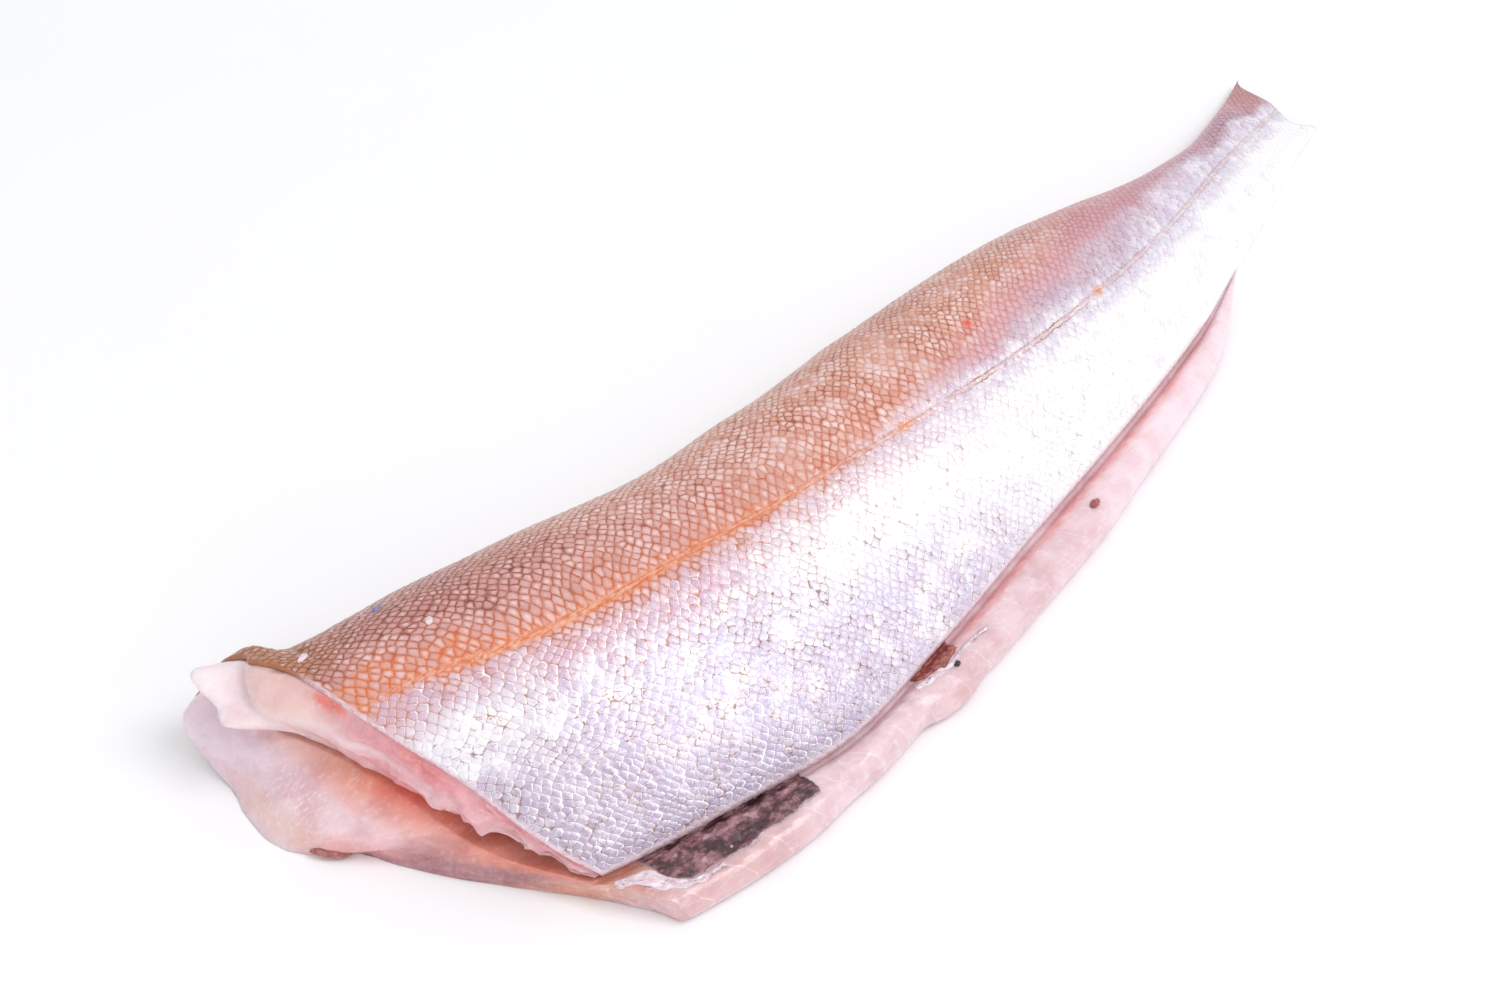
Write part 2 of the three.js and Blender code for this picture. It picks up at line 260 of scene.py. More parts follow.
def flesh_point(x, way):
    """The inner side at x, at a signed share of the way from the fold to the belly edge."""
    across, is_upper = np.abs(way), way >= 0
    edge_y, edge_z = belly_edge(x, is_upper)
    edge_y = edge_y + np.where(is_upper, FLESH_BEHIND_EDGE, FLESH_AT_EDGE)
    fold_y, running = inner_fold_y(x)
    y = mix(fold_y, edge_y, across)
    covered = np.clip((fold_y - y) / (fold_y - upper_belly_y(x)), 0, 1)
    start_z = mix(fold_z(x), flap_z(x), running)
    middle_z = mix(start_z, flap_z(x), covered**FLAP_FALL)
    settled = np.where(is_upper, rise(x, *SETTLED_X), 0)
    half = gap_at(x, covered) / 2 * mix(1, SETTLED_GAP, settled * rise(covered, *SETTLED_SHARE))
    strip_width = np.maximum(upper_belly_y(x) - edge_y, 1e-3)
    beyond = np.clip((upper_belly_y(x) - y) / strip_width, 0, 1)
    taper = np.clip((OPENING_END_X - x) / OPENING_TAPER, 0, 1)
    ridge = STRIP_RIDGE * np.sin(math.pi * beyond**STRIP_RIDGE_LEAN) * taper
    lower_z = middle_z - half + np.where(y < upper_belly_y(x), ridge, 0)
    rim_reach = mix(RIM_WIDTH, SETTLED_RIM, settled)
    z = rimmed(np.where(is_upper, middle_z + half, lower_z), edge_z, y - edge_y, rim_reach)
    return np.stack([x, y, z], -1)


def skin_normal(x, way):
    """The outward normal of the skin side."""
    reach, share = 0.05, 0.002
    along = skin_point(x + reach, way) - skin_point(x - reach, way)
    inner, outer = np.clip(way - share, -1, 1), np.clip(way + share, -1, 1)
    around = skin_point(x, outer) - skin_point(x, inner)
    normal = np.cross(along, around)
    return -normal / np.maximum(np.linalg.norm(normal, axis=-1, keepdims=True), 1e-9)


# ---- sheets of points and the faces between them --------------------------------------------------------


def crowded(count, crowding):
    """Shares from 0 to 1 that draw together towards 1."""
    share = np.linspace(0, 1, count + 1)
    return mix(share, np.sin(share * math.pi / 2), crowding)


def ways(steps):
    """The signed shares of the way round, from the upper belly edge to the lower one."""
    upper, lower = (crowded(steps[side], steps["crowding"]) for side in ("upper", "lower"))
    return np.concatenate([upper[::-1], -lower[1:]])


def opening_x(head_x, end_x, steps_along, crowding=1.0):
    """X of each ring (rows) at each way round (columns), from the head cut to the opening's end."""
    share = np.linspace(0, 1, steps_along + 1)[:, None] ** crowding
    return mix(head_x[None, :], end_x, share)


class Mesh:
    """Collects points and faces, and makes one closed Blender mesh of them."""

    def __init__(self):
        self.points, self.faces, self.kinds, self.count = [], [], [], 0

    def sheet(self, points):
        """Adds a grid of points and returns their numbers in the same grid."""
        rows, columns = points.shape[:2]
        self.points.append(points.reshape(-1, 3))
        numbers = self.count + np.arange(rows * columns).reshape(rows, columns)
        self.count += rows * columns
        return numbers

    def weave(self, numbers, kind):
        """Faces between the neighbours of a grid of point numbers."""
        a, b = numbers[:-1, :-1], numbers[:-1, 1:]
        c, d = numbers[1:, 1:], numbers[1:, :-1]
        quads = np.stack([a, b, c, d], -1).reshape(-1, 4).tolist()
        self.faces += quads
        self.kinds += [kind] * len(quads)

    def zip_rows(self, first, second, kind, first_at=None, second_at=None):
        """Triangles between two rows of point numbers that need not be as long as each other.

        first_at and second_at say how far along each point is. Without them both rows are evenly spaced.
        """
        first_at = np.linspace(0, 1, len(first)) if first_at is None else first_at
        second_at = np.linspace(0, 1, len(second)) if second_at is None else second_at
        i = j = 0
        last_i, last_j = len(first) - 1, len(second) - 1
        while i < last_i or j < last_j:
            if j == last_j or (i < last_i and first_at[i + 1] <= second_at[j + 1]):
                self.faces.append([first[i], first[i + 1], second[j]])
                i += 1
            else:
                self.faces.append([first[i], second[j + 1], second[j]])
                j += 1
            self.kinds.append(kind)

    def close_end(self, row, way, kind):
        """Triangles between the two halves of a row of point numbers, which the back parts."""
        half = int(np.argmin(np.abs(way)))
        self.zip_rows(row[half::-1], row[half:], kind, way[half::-1], -way[half:])

    def closed(self, name, materials):
        """The object, in metres and seated. Its faces are turned outwards afterwards, by face_out."""
        kept = []
        for face, kind in zip(self.faces, self.kinds):
            corners = [int(n) for k, n in enumerate(face) if n != face[k - 1]]
            if len(set(corners)) == len(corners) and len(corners) > 2:
                kept.append((corners, kind))
        points = (np.concatenate(self.points) + SEATING) * MM
        mesh = bpy.data.meshes.new(name)
        mesh.from_pydata(points.tolist(), [], [corners for corners, _ in kept])
        for material in materials:
            mesh.materials.append(material)
        mesh.polygons.foreach_set("material_index", [kind for _, kind in kept])
        mesh.polygons.foreach_set("use_smooth", [True] * len(kept))
        return add_object(name, mesh)


def add_object(name, data):
    """A new object in the scene."""
    made = bpy.data.objects.new(name, data)
    bpy.context.scene.collection.objects.link(made)
    return made


def point_field(made, name, values):
    """Gives each point of the mesh a number that its material reads."""
    field = made.data.attributes.new(name, "FLOAT", "POINT")
    field.data.foreach_set("value", np.asarray(values, np.float32).ravel())


def face_out(made):
    """Drops points that no face uses, and turns all faces outwards."""
    work = bmesh.new()
    work.from_mesh(made.data)
    bmesh.ops.delete(work, geom=[v for v in work.verts if not v.link_faces], context="VERTS")
    bmesh.ops.recalc_face_normals(work, faces=work.faces)
    work.to_mesh(made.data)
    work.free()


# ---- the skin -------------------------------------------------------------------------------------------

SKIN_STEPS = {"opening": 400, "tail": 92, "upper": 128, "lower": 50, "crowding": 0.25}
SKIN_LINING_STEPS = {"opening": 100, "upper": 30, "lower": 16, "crowding": 0.25}
LOWER_KIND = 2  # marks the lower side's faces until their map of scales is laid
# How far the lower fillet's skin is drawn back from its flesh: at the head cut in mm, growing over this
# share of the way round, and at the belly as a share of that way, growing over these mm of the opening.
HEAD_DRAWN_BACK, HEAD_DRAWN_OVER = 1.5, 0.08
BELLY_DRAWN_BACK, BELLY_DRAWN_OVER = 0.028, 6
LIP_REACH = 0.18  # how far the skin's cut head edge bulges forwards
SCALE_RANDOM = 0.46  # how unevenly the scales are set, from 0 to 1
SCALE_MAP_SHIFT = 80  # keeps the scales' own grid above 0 everywhere
SCALE_TABLE_STEP = 0.5  # how finely the scales' places are summed up
SCALE_TABLE_X, SCALE_TABLE_ACROSS = 140, 150  # how far from 0 they are, along the fish and across it
# Half the distance between scales along the fish, by x, and the distance between them across it, by how far
# they are from the lateral line.
half_scale_length = curve([
    (-136, 0.9), (-105, 1.0), (-60, 1.04), (-10, 0.96), (40, 0.88), (110, 0.82), (136, 0.8),
])
scale_width = curve([(-40, 2.0), (-12, 2.4), (-2, 2.7), (6, 2.6), (13, 2.1), (20, 1.8), (60, 1.7)])
SCALE_DOME = 0.07  # how far the middle of a scale stands over its edges
SCALE_STEP = 0.09  # how far its free edge stands over the next scale

lateral_y = curve([
    (-136, 14), (-113.8, 8.4), (-91.3, 0.6), (-68.1, -2), (-41.3, -1.8), (-10.5, -1.5), (19.1, 0.9),
    (50.7, 6.4), (77.9, 13.5), (108.1, 24.7), (136, 34.6),
])


def from_lateral_line(points, towards_back):
    """Arc length from the lateral line along each ring of one side's columns, positive towards the back.

    towards_back is 1 where the columns run from the belly to the back, and -1 where they run the other way.
    """
    steps_round = np.linalg.norm(np.diff(points, axis=1), axis=-1)
    length = np.concatenate([np.zeros((len(points), 1)), np.cumsum(steps_round, 1)], 1)
    off_line = points[..., 1] - lateral_y(points[..., 0])
    found = np.empty(len(points))
    for row in range(len(points)):
        order = np.argsort(off_line[row])
        found[row] = np.interp(0, off_line[row][order], length[row][order])
    return towards_back * (length - found[:, None])


def counted(size, reach):
    """A function of a place that rises by 1 over each stretch as long as size says there."""
    places = np.linspace(-reach, reach, round(2 * reach / SCALE_TABLE_STEP) + 1)
    numbers = np.concatenate([[0], np.cumsum(SCALE_TABLE_STEP / size(places[:-1]))])
    return lambda at: np.interp(at, places, numbers)


def scale_coordinates(x, across):
    """The scales' own grid: diagonal rows of scales lie at whole numbers of each of its two coordinates."""
    rows = counted(scale_width, SCALE_TABLE_ACROSS)
    u = counted(half_scale_length, SCALE_TABLE_X)(x)
    u = u + 0.7 * smooth_noise(x / 9, across / 9, 11) + 0.14 * smooth_noise(x / 2.6, across / 2.6, 12)
    v = rows(across) - rows(0)
    v = v + 0.4 * smooth_noise(x / 11, across / 7, 13) + 0.08 * smooth_noise(x / 2.4, across / 2.8, 14)
    return u / 2 + v + SCALE_MAP_SHIFT, u / 2 - v + SCALE_MAP_SHIFT


def cell_texture(tree, vector, feature):
    """The texture that sets the scales' outlines, in a material or in a geometry tree."""
    cells = tree.nodes.new("ShaderNodeTexVoronoi")
    cells.voronoi_dimensions = "2D"
    cells.feature = feature
    cells.inputs["Scale"].default_value = 1
    cells.inputs["Randomness"].default_value = SCALE_RANDOM
    tree.links.new(vector, cells.inputs["Vector"])
    return cells


def scale_height(a, b):
    """Height in mm of the scales' relief, from the same cell texture that colours them."""
    mesh = bpy.data.meshes.new("probe")
    places = np.stack([a.ravel(), b.ravel(), np.zeros(a.size)], -1)
    mesh.from_pydata(places.tolist(), [], [])
    probe = add_object("probe", mesh)
    tree = bpy.data.node_groups.new("probe", "GeometryNodeTree")
    for side in ("INPUT", "OUTPUT"):
        tree.interface.new_socket("Geometry", in_out=side, socket_type="NodeSocketGeometry")
    place = tree.nodes.new("GeometryNodeInputPosition").outputs[0]
    edge = cell_texture(tree, place, "DISTANCE_TO_EDGE").outputs["Distance"]
    middle = cell_texture(tree, place, "F1").outputs["Position"]
    chain = tree.nodes.new("NodeGroupInput").outputs[0]
    for name, kind, value in (("edge", "FLOAT", edge), ("middle", "FLOAT_VECTOR", middle)):
        store = tree.nodes.new("GeometryNodeStoreNamedAttribute")
        store.data_type = kind
        store.inputs["Name"].default_value = name
        tree.links.new(chain, store.inputs["Geometry"])
        tree.links.new(value, store.inputs["Value"])
        chain = store.outputs["Geometry"]
    tree.links.new(chain, tree.nodes.new("NodeGroupOutput").inputs[0])
    probe.modifiers.new("probe", "NODES").node_group = tree
    seen = probe.evaluated_get(bpy.context.evaluated_depsgraph_get()).data
    from_edge = np.empty(a.size, np.float32)
    middles = np.empty(3 * a.size, np.float32)
    seen.attributes["edge"].data.foreach_get("value", from_edge)
    seen.attributes["middle"].data.foreach_get("vector", middles)
    bpy.data.objects.remove(probe)
    bpy.data.meshes.remove(mesh)
    bpy.data.node_groups.remove(tree)
    middles = middles.reshape(-1, 3)
    along = (places[:, 0] - middles[:, 0]) + (places[:, 1] - middles[:, 1])
    height = SCALE_DOME * rise(from_edge, 0, 0.3) + SCALE_STEP * np.clip(along, -0.7, 0.7)
    return height.reshape(a.shape)


def skin_head_x(way):
    """The skin's own head edge, drawn back from the lower fillet's flesh."""
    return head_cut_skin_x(way) + HEAD_DRAWN_BACK * rise(-way, 0, HEAD_DRAWN_OVER)


def skin_ways(x, way):
    """The signed shares of the way round, drawn back from the lower fillet's belly edge."""
    drawn_back = 1 - BELLY_DRAWN_BACK * rise(OPENING_END_X - x, 0, BELLY_DRAWN_OVER)
    return np.where(way < 0, way * drawn_back, way)


def skin_relief(points, way, scales, across, from_head, from_belly):
    """How far the skin's outside stands out: scales, the lateral line's groove, soft waves and a fold."""
    x, y = points[..., 0], points[..., 1]
    inside = rise(from_head, 0.2, 2.0) * rise(from_belly, 0.3, 3)
    seen = rise(way, -0.02, 0.06)
    relief = scale_height(*scales) * inside * seen * rise(140 - x, 0, 60)
    groove = 0.08 * bump_at(across, 0, 0.4) - 0.22 * bump_at(np.abs(across), 0.55, 0.35)
    waves = 0.28 * smooth_noise(x / 17, across / 14, 21) + 0.1 * smooth_noise(x / 6, across / 6, 22)
    fold = -0.7 * bump_at(x, -116.2, 0.8) * bump_at(y, 26, 2.5) * seen
    fold = fold + 1.3 * bump_at(x, -121.5, 3) * bump_at(way, 0.12, 0.05) * rise(from_head, -1, 2)
    return relief + groove * seen * rise(from_head, 0, 6) + waves * inside * seen + fold


def lay_scale_map(made, grid, back_points, back_grid):
    """Puts the scales' grid on the skin as a map. On the lower side the back's points have their own."""
    loops = np.empty(len(made.data.loops), np.int32)
    made.data.loops.foreach_get("vertex_index", loops)
    faces = made.data.polygons
    kinds, sizes = (np.empty(len(faces), np.int32) for _ in range(2))
    faces.foreach_get("material_index", kinds)
    faces.foreach_get("loop_total", sizes)
    is_lower = np.repeat(kinds == LOWER_KIND, sizes)
    kinds[kinds == LOWER_KIND] = 0
    faces.foreach_set("material_index", kinds)
    lower_grid = grid.copy()
    lower_grid[back_points] = back_grid
    uv = np.where(is_lower[:, None], lower_grid[loops], grid[loops])
    made.data.uv_layers.new(name="scales").data.foreach_set("uv", uv.astype(np.float32).ravel())


def build_skin(materials):
    way = ways(SKIN_STEPS)
    opening = opening_x(skin_head_x(way), OPENING_END_X, SKIN_STEPS["opening"])
    tail_share = np.linspace(0, 1, SKIN_STEPS["tail"] + 1)[1:, None]
    tail = mix(OPENING_END_X, tail_cut_x(np.abs(way))[None, :], tail_share)
    x = np.concatenate([opening, tail])
    grid_way = skin_ways(x, np.broadcast_to(way, x.shape))
    points, normal = skin_point(x, grid_way), skin_normal(x, grid_way)
    middle = SKIN_STEPS["upper"]
    across_upper = from_lateral_line(points[:, : middle + 1], 1)
    across_lower = from_lateral_line(points[:, middle:], -1)
    across = np.concatenate([across_upper, across_lower[:, 1:]], 1)
    u, v = scale_coordinates(x, across)
    back_grid = np.stack(scale_coordinates(x[:, middle], across_lower[:, 0]), -1)

    edge_y, _ = belly_edge(x, grid_way >= 0)
    from_belly = points[..., 1] - edge_y
    from_head = x - skin_head_x(way)[None, :]
    height = skin_relief(points, grid_way, (u, v), across, from_head, from_belly)
    points = points + normal * height[..., None]

    mesh = Mesh()
    outer = mesh.sheet(points)
    last_open = SKIN_STEPS["opening"]
    outer[last_open:, -1] = outer[last_open:, 0]
    mesh.weave(outer[:, : middle + 1], 0)
    mesh.weave(outer[:, middle:], LOWER_KIND)
    mesh.close_end(outer[-1], way, 1)

    lining_way = ways(SKIN_LINING_STEPS)
    lining_x = opening_x(skin_head_x(lining_way), OPENING_END_X, SKIN_LINING_STEPS["opening"])
    lining_ways = skin_ways(lining_x, np.broadcast_to(lining_way, lining_x.shape))
    lining = skin_point(lining_x, lining_ways) - SKIN_THICKNESS * skin_normal(lining_x, lining_ways)
    inner = mesh.sheet(lining)
    inner[-1, -1] = inner[-1, 0]
    mesh.weave(inner, 1)
    mesh.close_end(inner[-1], lining_way, 1)

    lip = points[0] - 0.5 * SKIN_THICKNESS * normal[0] - np.array([LIP_REACH, 0, 0])
    lip_row = mesh.sheet(lip[None])[0]
    mesh.weave(np.stack([outer[0], lip_row]), 1)
    mesh.zip_rows(lip_row, inner[0], 1, -way, -lining_way)
    for end in (0, -1):
        mesh.zip_rows([inner[0, end]], [outer[0, end], lip_row[end]], 1)
        edge_x = x[: last_open + 1, end]
        mesh.zip_rows(outer[: last_open + 1, end], inner[:, end], 1, edge_x, lining_x[:, end])

    made = mesh.closed("skin", materials)

    def whole(values):
        """The values of the skin's outside, with 0 for every other point."""
        return np.concatenate([values.ravel(), np.zeros(mesh.count - outer.size)])

    for name, values in skin_fields(x, points[..., 1], across, from_head, from_belly).items():
        point_field(made, name, whole(values))
    back_points = np.arange(len(x)) * x.shape[1] + middle
    lay_scale_map(made, np.stack([whole(u), whole(v)], -1), back_points, back_grid)
    face_out(made)
    return made


def skin_fields(x, y, across, from_head, from_belly):
    """What the skin's material is painted by: shares from 0 to 1 of each colour, and distances in mm."""
    ragged = 2.2 * layered_noise(x / 7, across / 5, 31) + 0.8 * smooth_noise(x / 2, across / 1.6, 35)
    copper_edge = curve([
        (-136, -2), (-115, -1.5), (-94, -2.5), (-71, -3.5), (-44, -2.5), (-15, 0), (-4, 2.5), (21, 6),
        (43, 9), (66, 10), (81, 10.5), (100, 11), (118, 10), (127, 6), (136, 3),
    ])(x)
    off_edge = across - copper_edge
    copper = (off_edge + 0.6 * ragged) / 9 + 0.5 - 0.3 * bump_at(x, 100, 14)
    red_spot = bump_at(x, 20.6, 1.4) * bump_at(y, 10.7, 1.1)
    towards_tail = rise(x, 84, 108)
    mauve = rise(across + ragged, mix(8, 2, towards_tail), mix(14, 6, towards_tail))
    mauve = mauve * rise(x + ragged, 40, 80)
    mauve = mauve + 0.6 * bump_at(across + ragged, 5, 3.4) * rise(x, 0, 30) * fall(x, 60, 85)
    dark = rise(across + 1.5 * ragged, 3, 14) * fall(x, -98, -56)
    dark = np.maximum(dark, 0.4 * rise(across, 16, 28) * fall(x, 30, 80))
    dark = dark + 0.6 * rise(across, 8, 14) * bump_at(x, 110, 14)
    rosy = 0.9 * bump_at(off_edge + ragged, 0.5, 3.6) * rise(x, -5, 26) * fall(x, 108, 122)
    orange = 0.8 * bump_at(across + ragged * 0.3, 0, 2.2) * fall(x, -50, -10)
    orange = orange + bump_at(across + ragged * 0.5, 2.4, 4.2) * fall(x, -104, -92)
    orange = orange + 0.6 * bump_at(across + ragged, 3.5, 4.5) * fall(x, -5, 30)
    dash = (bump_at(x, -6.4, 2.4) + bump_at(x, 50.7, 1.4)) * bump_at(across, 0.2, 0.9)
    brown_dash = bump_at(x, 36, 5) + 0.6 * bump_at(x, 14, 4)
    rosy_band = rise(across + ragged, -13, -2) * fall(x + 2 * ragged, -50, 30)
    cap = fall(x + ragged, -118, -107) * rise(across + ragged, 9, 15)
    cap = np.maximum(cap, 0.8 * rise(x + ragged, 124, 130) * rise(across + ragged, 3, 6))
    # White patches on the silver side: partly the silver's own colour, partly painted highlight where its
    # shine is blown out.
    white = bump_at(across + ragged, -13, 9) * rise(x + 2 * ragged, -60, -36)
    white = np.maximum(white, rise(x + ragged, -20, 25) * rise(-across, 1, 6))
    white = np.maximum(white, 0.9 * bump_at(x, -107, 9) * bump_at(across + ragged, -14, 6))
    white = white * (1 - 0.9 * bump_at(x, -24, 20) * bump_at(across + ragged, -26, 8))
    lavender = bump_at(x, -66, 26) * rise(-across + ragged, 10, 20)
    lavender = lavender + bump_at(x, -24, 16) * bump_at(across + ragged, -25, 8)
    lavender = lavender + 0.5 * rise(x, 30, 60) * bump_at(across + ragged, -1, 5)
    grey = 0.9 * rise(-from_belly, -15, -2) * fall(x + ragged, -64, -30)
    grey = np.maximum(grey, 0.75 * rise(ragged - across, 20, 30) * fall(x, -90, -66))
    specks = 0.35 + 0.65 * bump_at(x, -72, 56) * rise(-across, 2, 12)
    specks = specks * rise(-across, 0, 5) * fall(x, 20, 90)
    dust = rise(-from_belly, -9, -1) * (1 - 0.8 * rise(x, -60, -20)) + 0.2 * bump_at(x, -30, 50)
    shares = dict(
        copper=copper, mauve=mauve, dark=dark, red_spot=red_spot, dash=dash, brown_dash=brown_dash,
        rosy=rosy, orange=orange, rosy_band=rosy_band, cap=cap, white=white, lavender=lavender, grey=grey,
        specks=specks, dust=dust,
    )
    shares = {name: np.clip(values, 0, 1) for name, values in shares.items()}
    return shares | dict(across_mm=across, along_mm=x, from_head_mm=from_head, from_belly_mm=from_belly)


# ---- the flesh ------------------------------------------------------------------------------------------

FLESH_STEPS = {"opening": 330, "cut": 48, "upper": 80, "lower": 130, "crowding": 0.7}
FLESH_CORE_STEPS = {"opening": 110, "upper": 26, "lower": 40, "crowding": 0.8}
FLESH_END_X = OPENING_END_X - 0.4
CORE_EDGE_DROP = 0.35  # how far the flesh's underside lies below the lower fillet's edge

# Shreds that hang from the lower edge of the upper fillet's head cut: where round the cut, reach, drop.
SHREDS = [(0.5, 0.035, 0.5), (0.62, 0.05, 0.8), (0.735, 0.045, 1.5), (0.86, 0.035, 1.3), (0.945, 0.03, 0.8)]


def rounded_ends(through):
    """0 at both ends of the way through the flesh, and 1 between them."""
    from_end = np.clip(np.minimum(through, 1 - through) / CUT_ROUNDING, 0, 1)
    return np.sqrt(1 - (1 - from_end) ** 2)


def head_cut_bulge(way, through):
    """The move of the head cut's points that makes its lumps of muscle."""
    total = 0
    for at, deep_at, wide, deep, out in HEAD_LOBES:
        height = bump_at(way, at, wide) * bump_at(through, deep_at, deep)
        total = total + height[..., None] * np.array(out, float)
    return total * rounded_ends(through)[..., None]


def flesh_under_skin(x, way):
    """The flesh's outer side: under the skin, but flush with its outside at the lower fillet's edges."""
    from_head = x - head_cut_skin_x(way)
    covered = rise(from_head, 1.5, 3.2) * rise(1 + way, 0.03, 0.055)
    covered = mix(covered, 1, rise(way, -0.04, 0))
    depth = mix(FLESH_AT_EDGE, FLESH_UNDER_SKIN, covered)
    return skin_point(x, way) - depth[..., None] * skin_normal(x, way)


def head_cut_point(way, through):
    """The head cut's flesh, at shares of the way from under the skin (0) to the inner side (1)."""
    skin_x, fold_x = head_cut_skin_x(way), head_cut_fold_x(way)
    outside = flesh_under_skin(skin_x, way)
    inside = flesh_point(fold_x, way) + flesh_relief(fold_x, way)
    return mix(outside, inside, through[..., None])


def head_cut_relief(way, through):
    """Flakes, torn lines and shreds of the head cut, as a move of each of its points."""
    edge = rounded_ends(through)
    flakes = 0.55 * layered_noise(way * 22, through * 3.2, 51)
    flakes = flakes + 0.4 * smooth_noise(way * 60, through * 5, 55)
    torn = 0.5 * (1 - np.abs(smooth_noise(way * 16 + through * 2.5, through * 4, 57)) * 2.2)
    upper = rise(way, 0.24, 0.4)
    out = edge * (flakes * mix(0.55, 1, upper) + np.maximum(torn, 0) * upper)
    drop = sum(depth * bump_at(way, at, reach) for at, reach, depth in SHREDS)
    drop = drop * (1 + 0.5 * smooth_noise(way * 70, through * 2, 59))
    hang = rise(through, 0.3, 0.85) * np.sqrt(np.clip((1 - through) / 0.15, 0, 1))
    rough = np.stack([-out - 0.6 * drop * hang, -0.2 * drop * hang, -drop * hang], -1)
    return head_cut_bulge(way, through) + rough


def uncovered(x, y):
    """1 on the part of the lower fillet's inner side that the upper fillet leaves bare, else 0."""
    return rise(upper_belly_y(x) - y, -0.6, 1.2)


def flesh_relief(x, way):
    """Soft muscle segments, and ripples at the belly edge, of the inner sides."""
    point = flesh_point(x, way)
    y = point[..., 1]
    lower = way < 0
    edge_y, _ = belly_edge(x, way >= 0)
    from_edge = y - edge_y
    segments = 0.3 * smooth_noise((x + 0.7 * y) / 9, y / 12, 61)
    segments = segments + 0.16 * smooth_noise((x + 0.8 * y) / 2.6, y / 6, 62)
    grain = 0.07 * smooth_noise(x / 1.1, y / 0.9, 63)
    in_mouth = fall(x - head_cut_fold_x(way), 8, 26)
    shown = np.where(lower, np.maximum(uncovered(x, y), 0.8 * in_mouth), 0.5 * in_mouth)
    shown = shown * rise(from_edge, 0.2, 2) * rise(OPENING_END_X - x, 0, 8)
    shown = shown * rise(np.abs(way), 0, 0.12)
    lift = (segments + grain) * shown
    return np.stack([np.zeros_like(lift), np.zeros_like(lift), np.where(lower, lift, -lift)], -1)


def build_flesh(materials):
    mesh = Mesh()
    way = ways(FLESH_STEPS)
    inner_x = opening_x(head_cut_fold_x(way), FLESH_END_X, FLESH_STEPS["opening"], 1.3)
    inner_way = np.broadcast_to(way, inner_x.shape)
    inner_points = flesh_point(inner_x, inner_way) + flesh_relief(inner_x, inner_way)
    inner = mesh.sheet(inner_points)
    mesh.weave(inner, 0)
    mesh.close_end(inner[-1], way, 0)

    through = np.linspace(0, 1, FLESH_STEPS["cut"] + 1)[:-1]
    cut_way, cut_through = np.meshgrid(way, through)
    cut_points = head_cut_point(cut_way, cut_through) + head_cut_relief(cut_way, cut_through)
    cut = mesh.sheet(cut_points)
    cut[:, 0], cut[:, -1] = cut[0, 0], cut[0, -1]
    mesh.weave(np.concatenate([cut, inner[:1]]), 0)

    core_way = ways(FLESH_CORE_STEPS)
    core_x = opening_x(head_cut_skin_x(core_way), FLESH_END_X, FLESH_CORE_STEPS["opening"], 1.5)[1:]
    core_ways = np.broadcast_to(core_way, core_x.shape)
    core_points = flesh_under_skin(core_x, core_ways)
    core_points[:, -1, 2] -= CORE_EDGE_DROP
    core = mesh.sheet(core_points)
    mesh.weave(core, 0)
    mesh.zip_rows(cut[0], core[0], 0, -way, -core_way)
    mesh.close_end(core[-1], core_way, 0)
    for end in (0, -1):
        edge_points = np.concatenate([[cut[0, end]], core[:, end]])
        edge_x = np.concatenate([[head_cut_fold_x(way[end])], core_x[:, end]])
        mesh.zip_rows(edge_points, inner[:, end], 0, edge_x, inner_x[:, end])
    mesh.zip_rows([core[-1, 0], core[-1, -1]], [inner[-1, 0], inner[-1, -1]], 0)

    made = mesh.closed("flesh", materials)
    inner_fields = flesh_fields(inner_x, inner_points[..., 1], inner_way, np.ones_like(inner_x))
    cut_fields = flesh_fields(cut_points[..., 0], cut_points[..., 1], cut_way, cut_through)
    for name, values in inner_fields.items():
        parts = [values.ravel(), cut_fields[name].ravel(), np.zeros(core.size)]
        point_field(made, name, np.concatenate(parts))
    face_out(made)
    return made


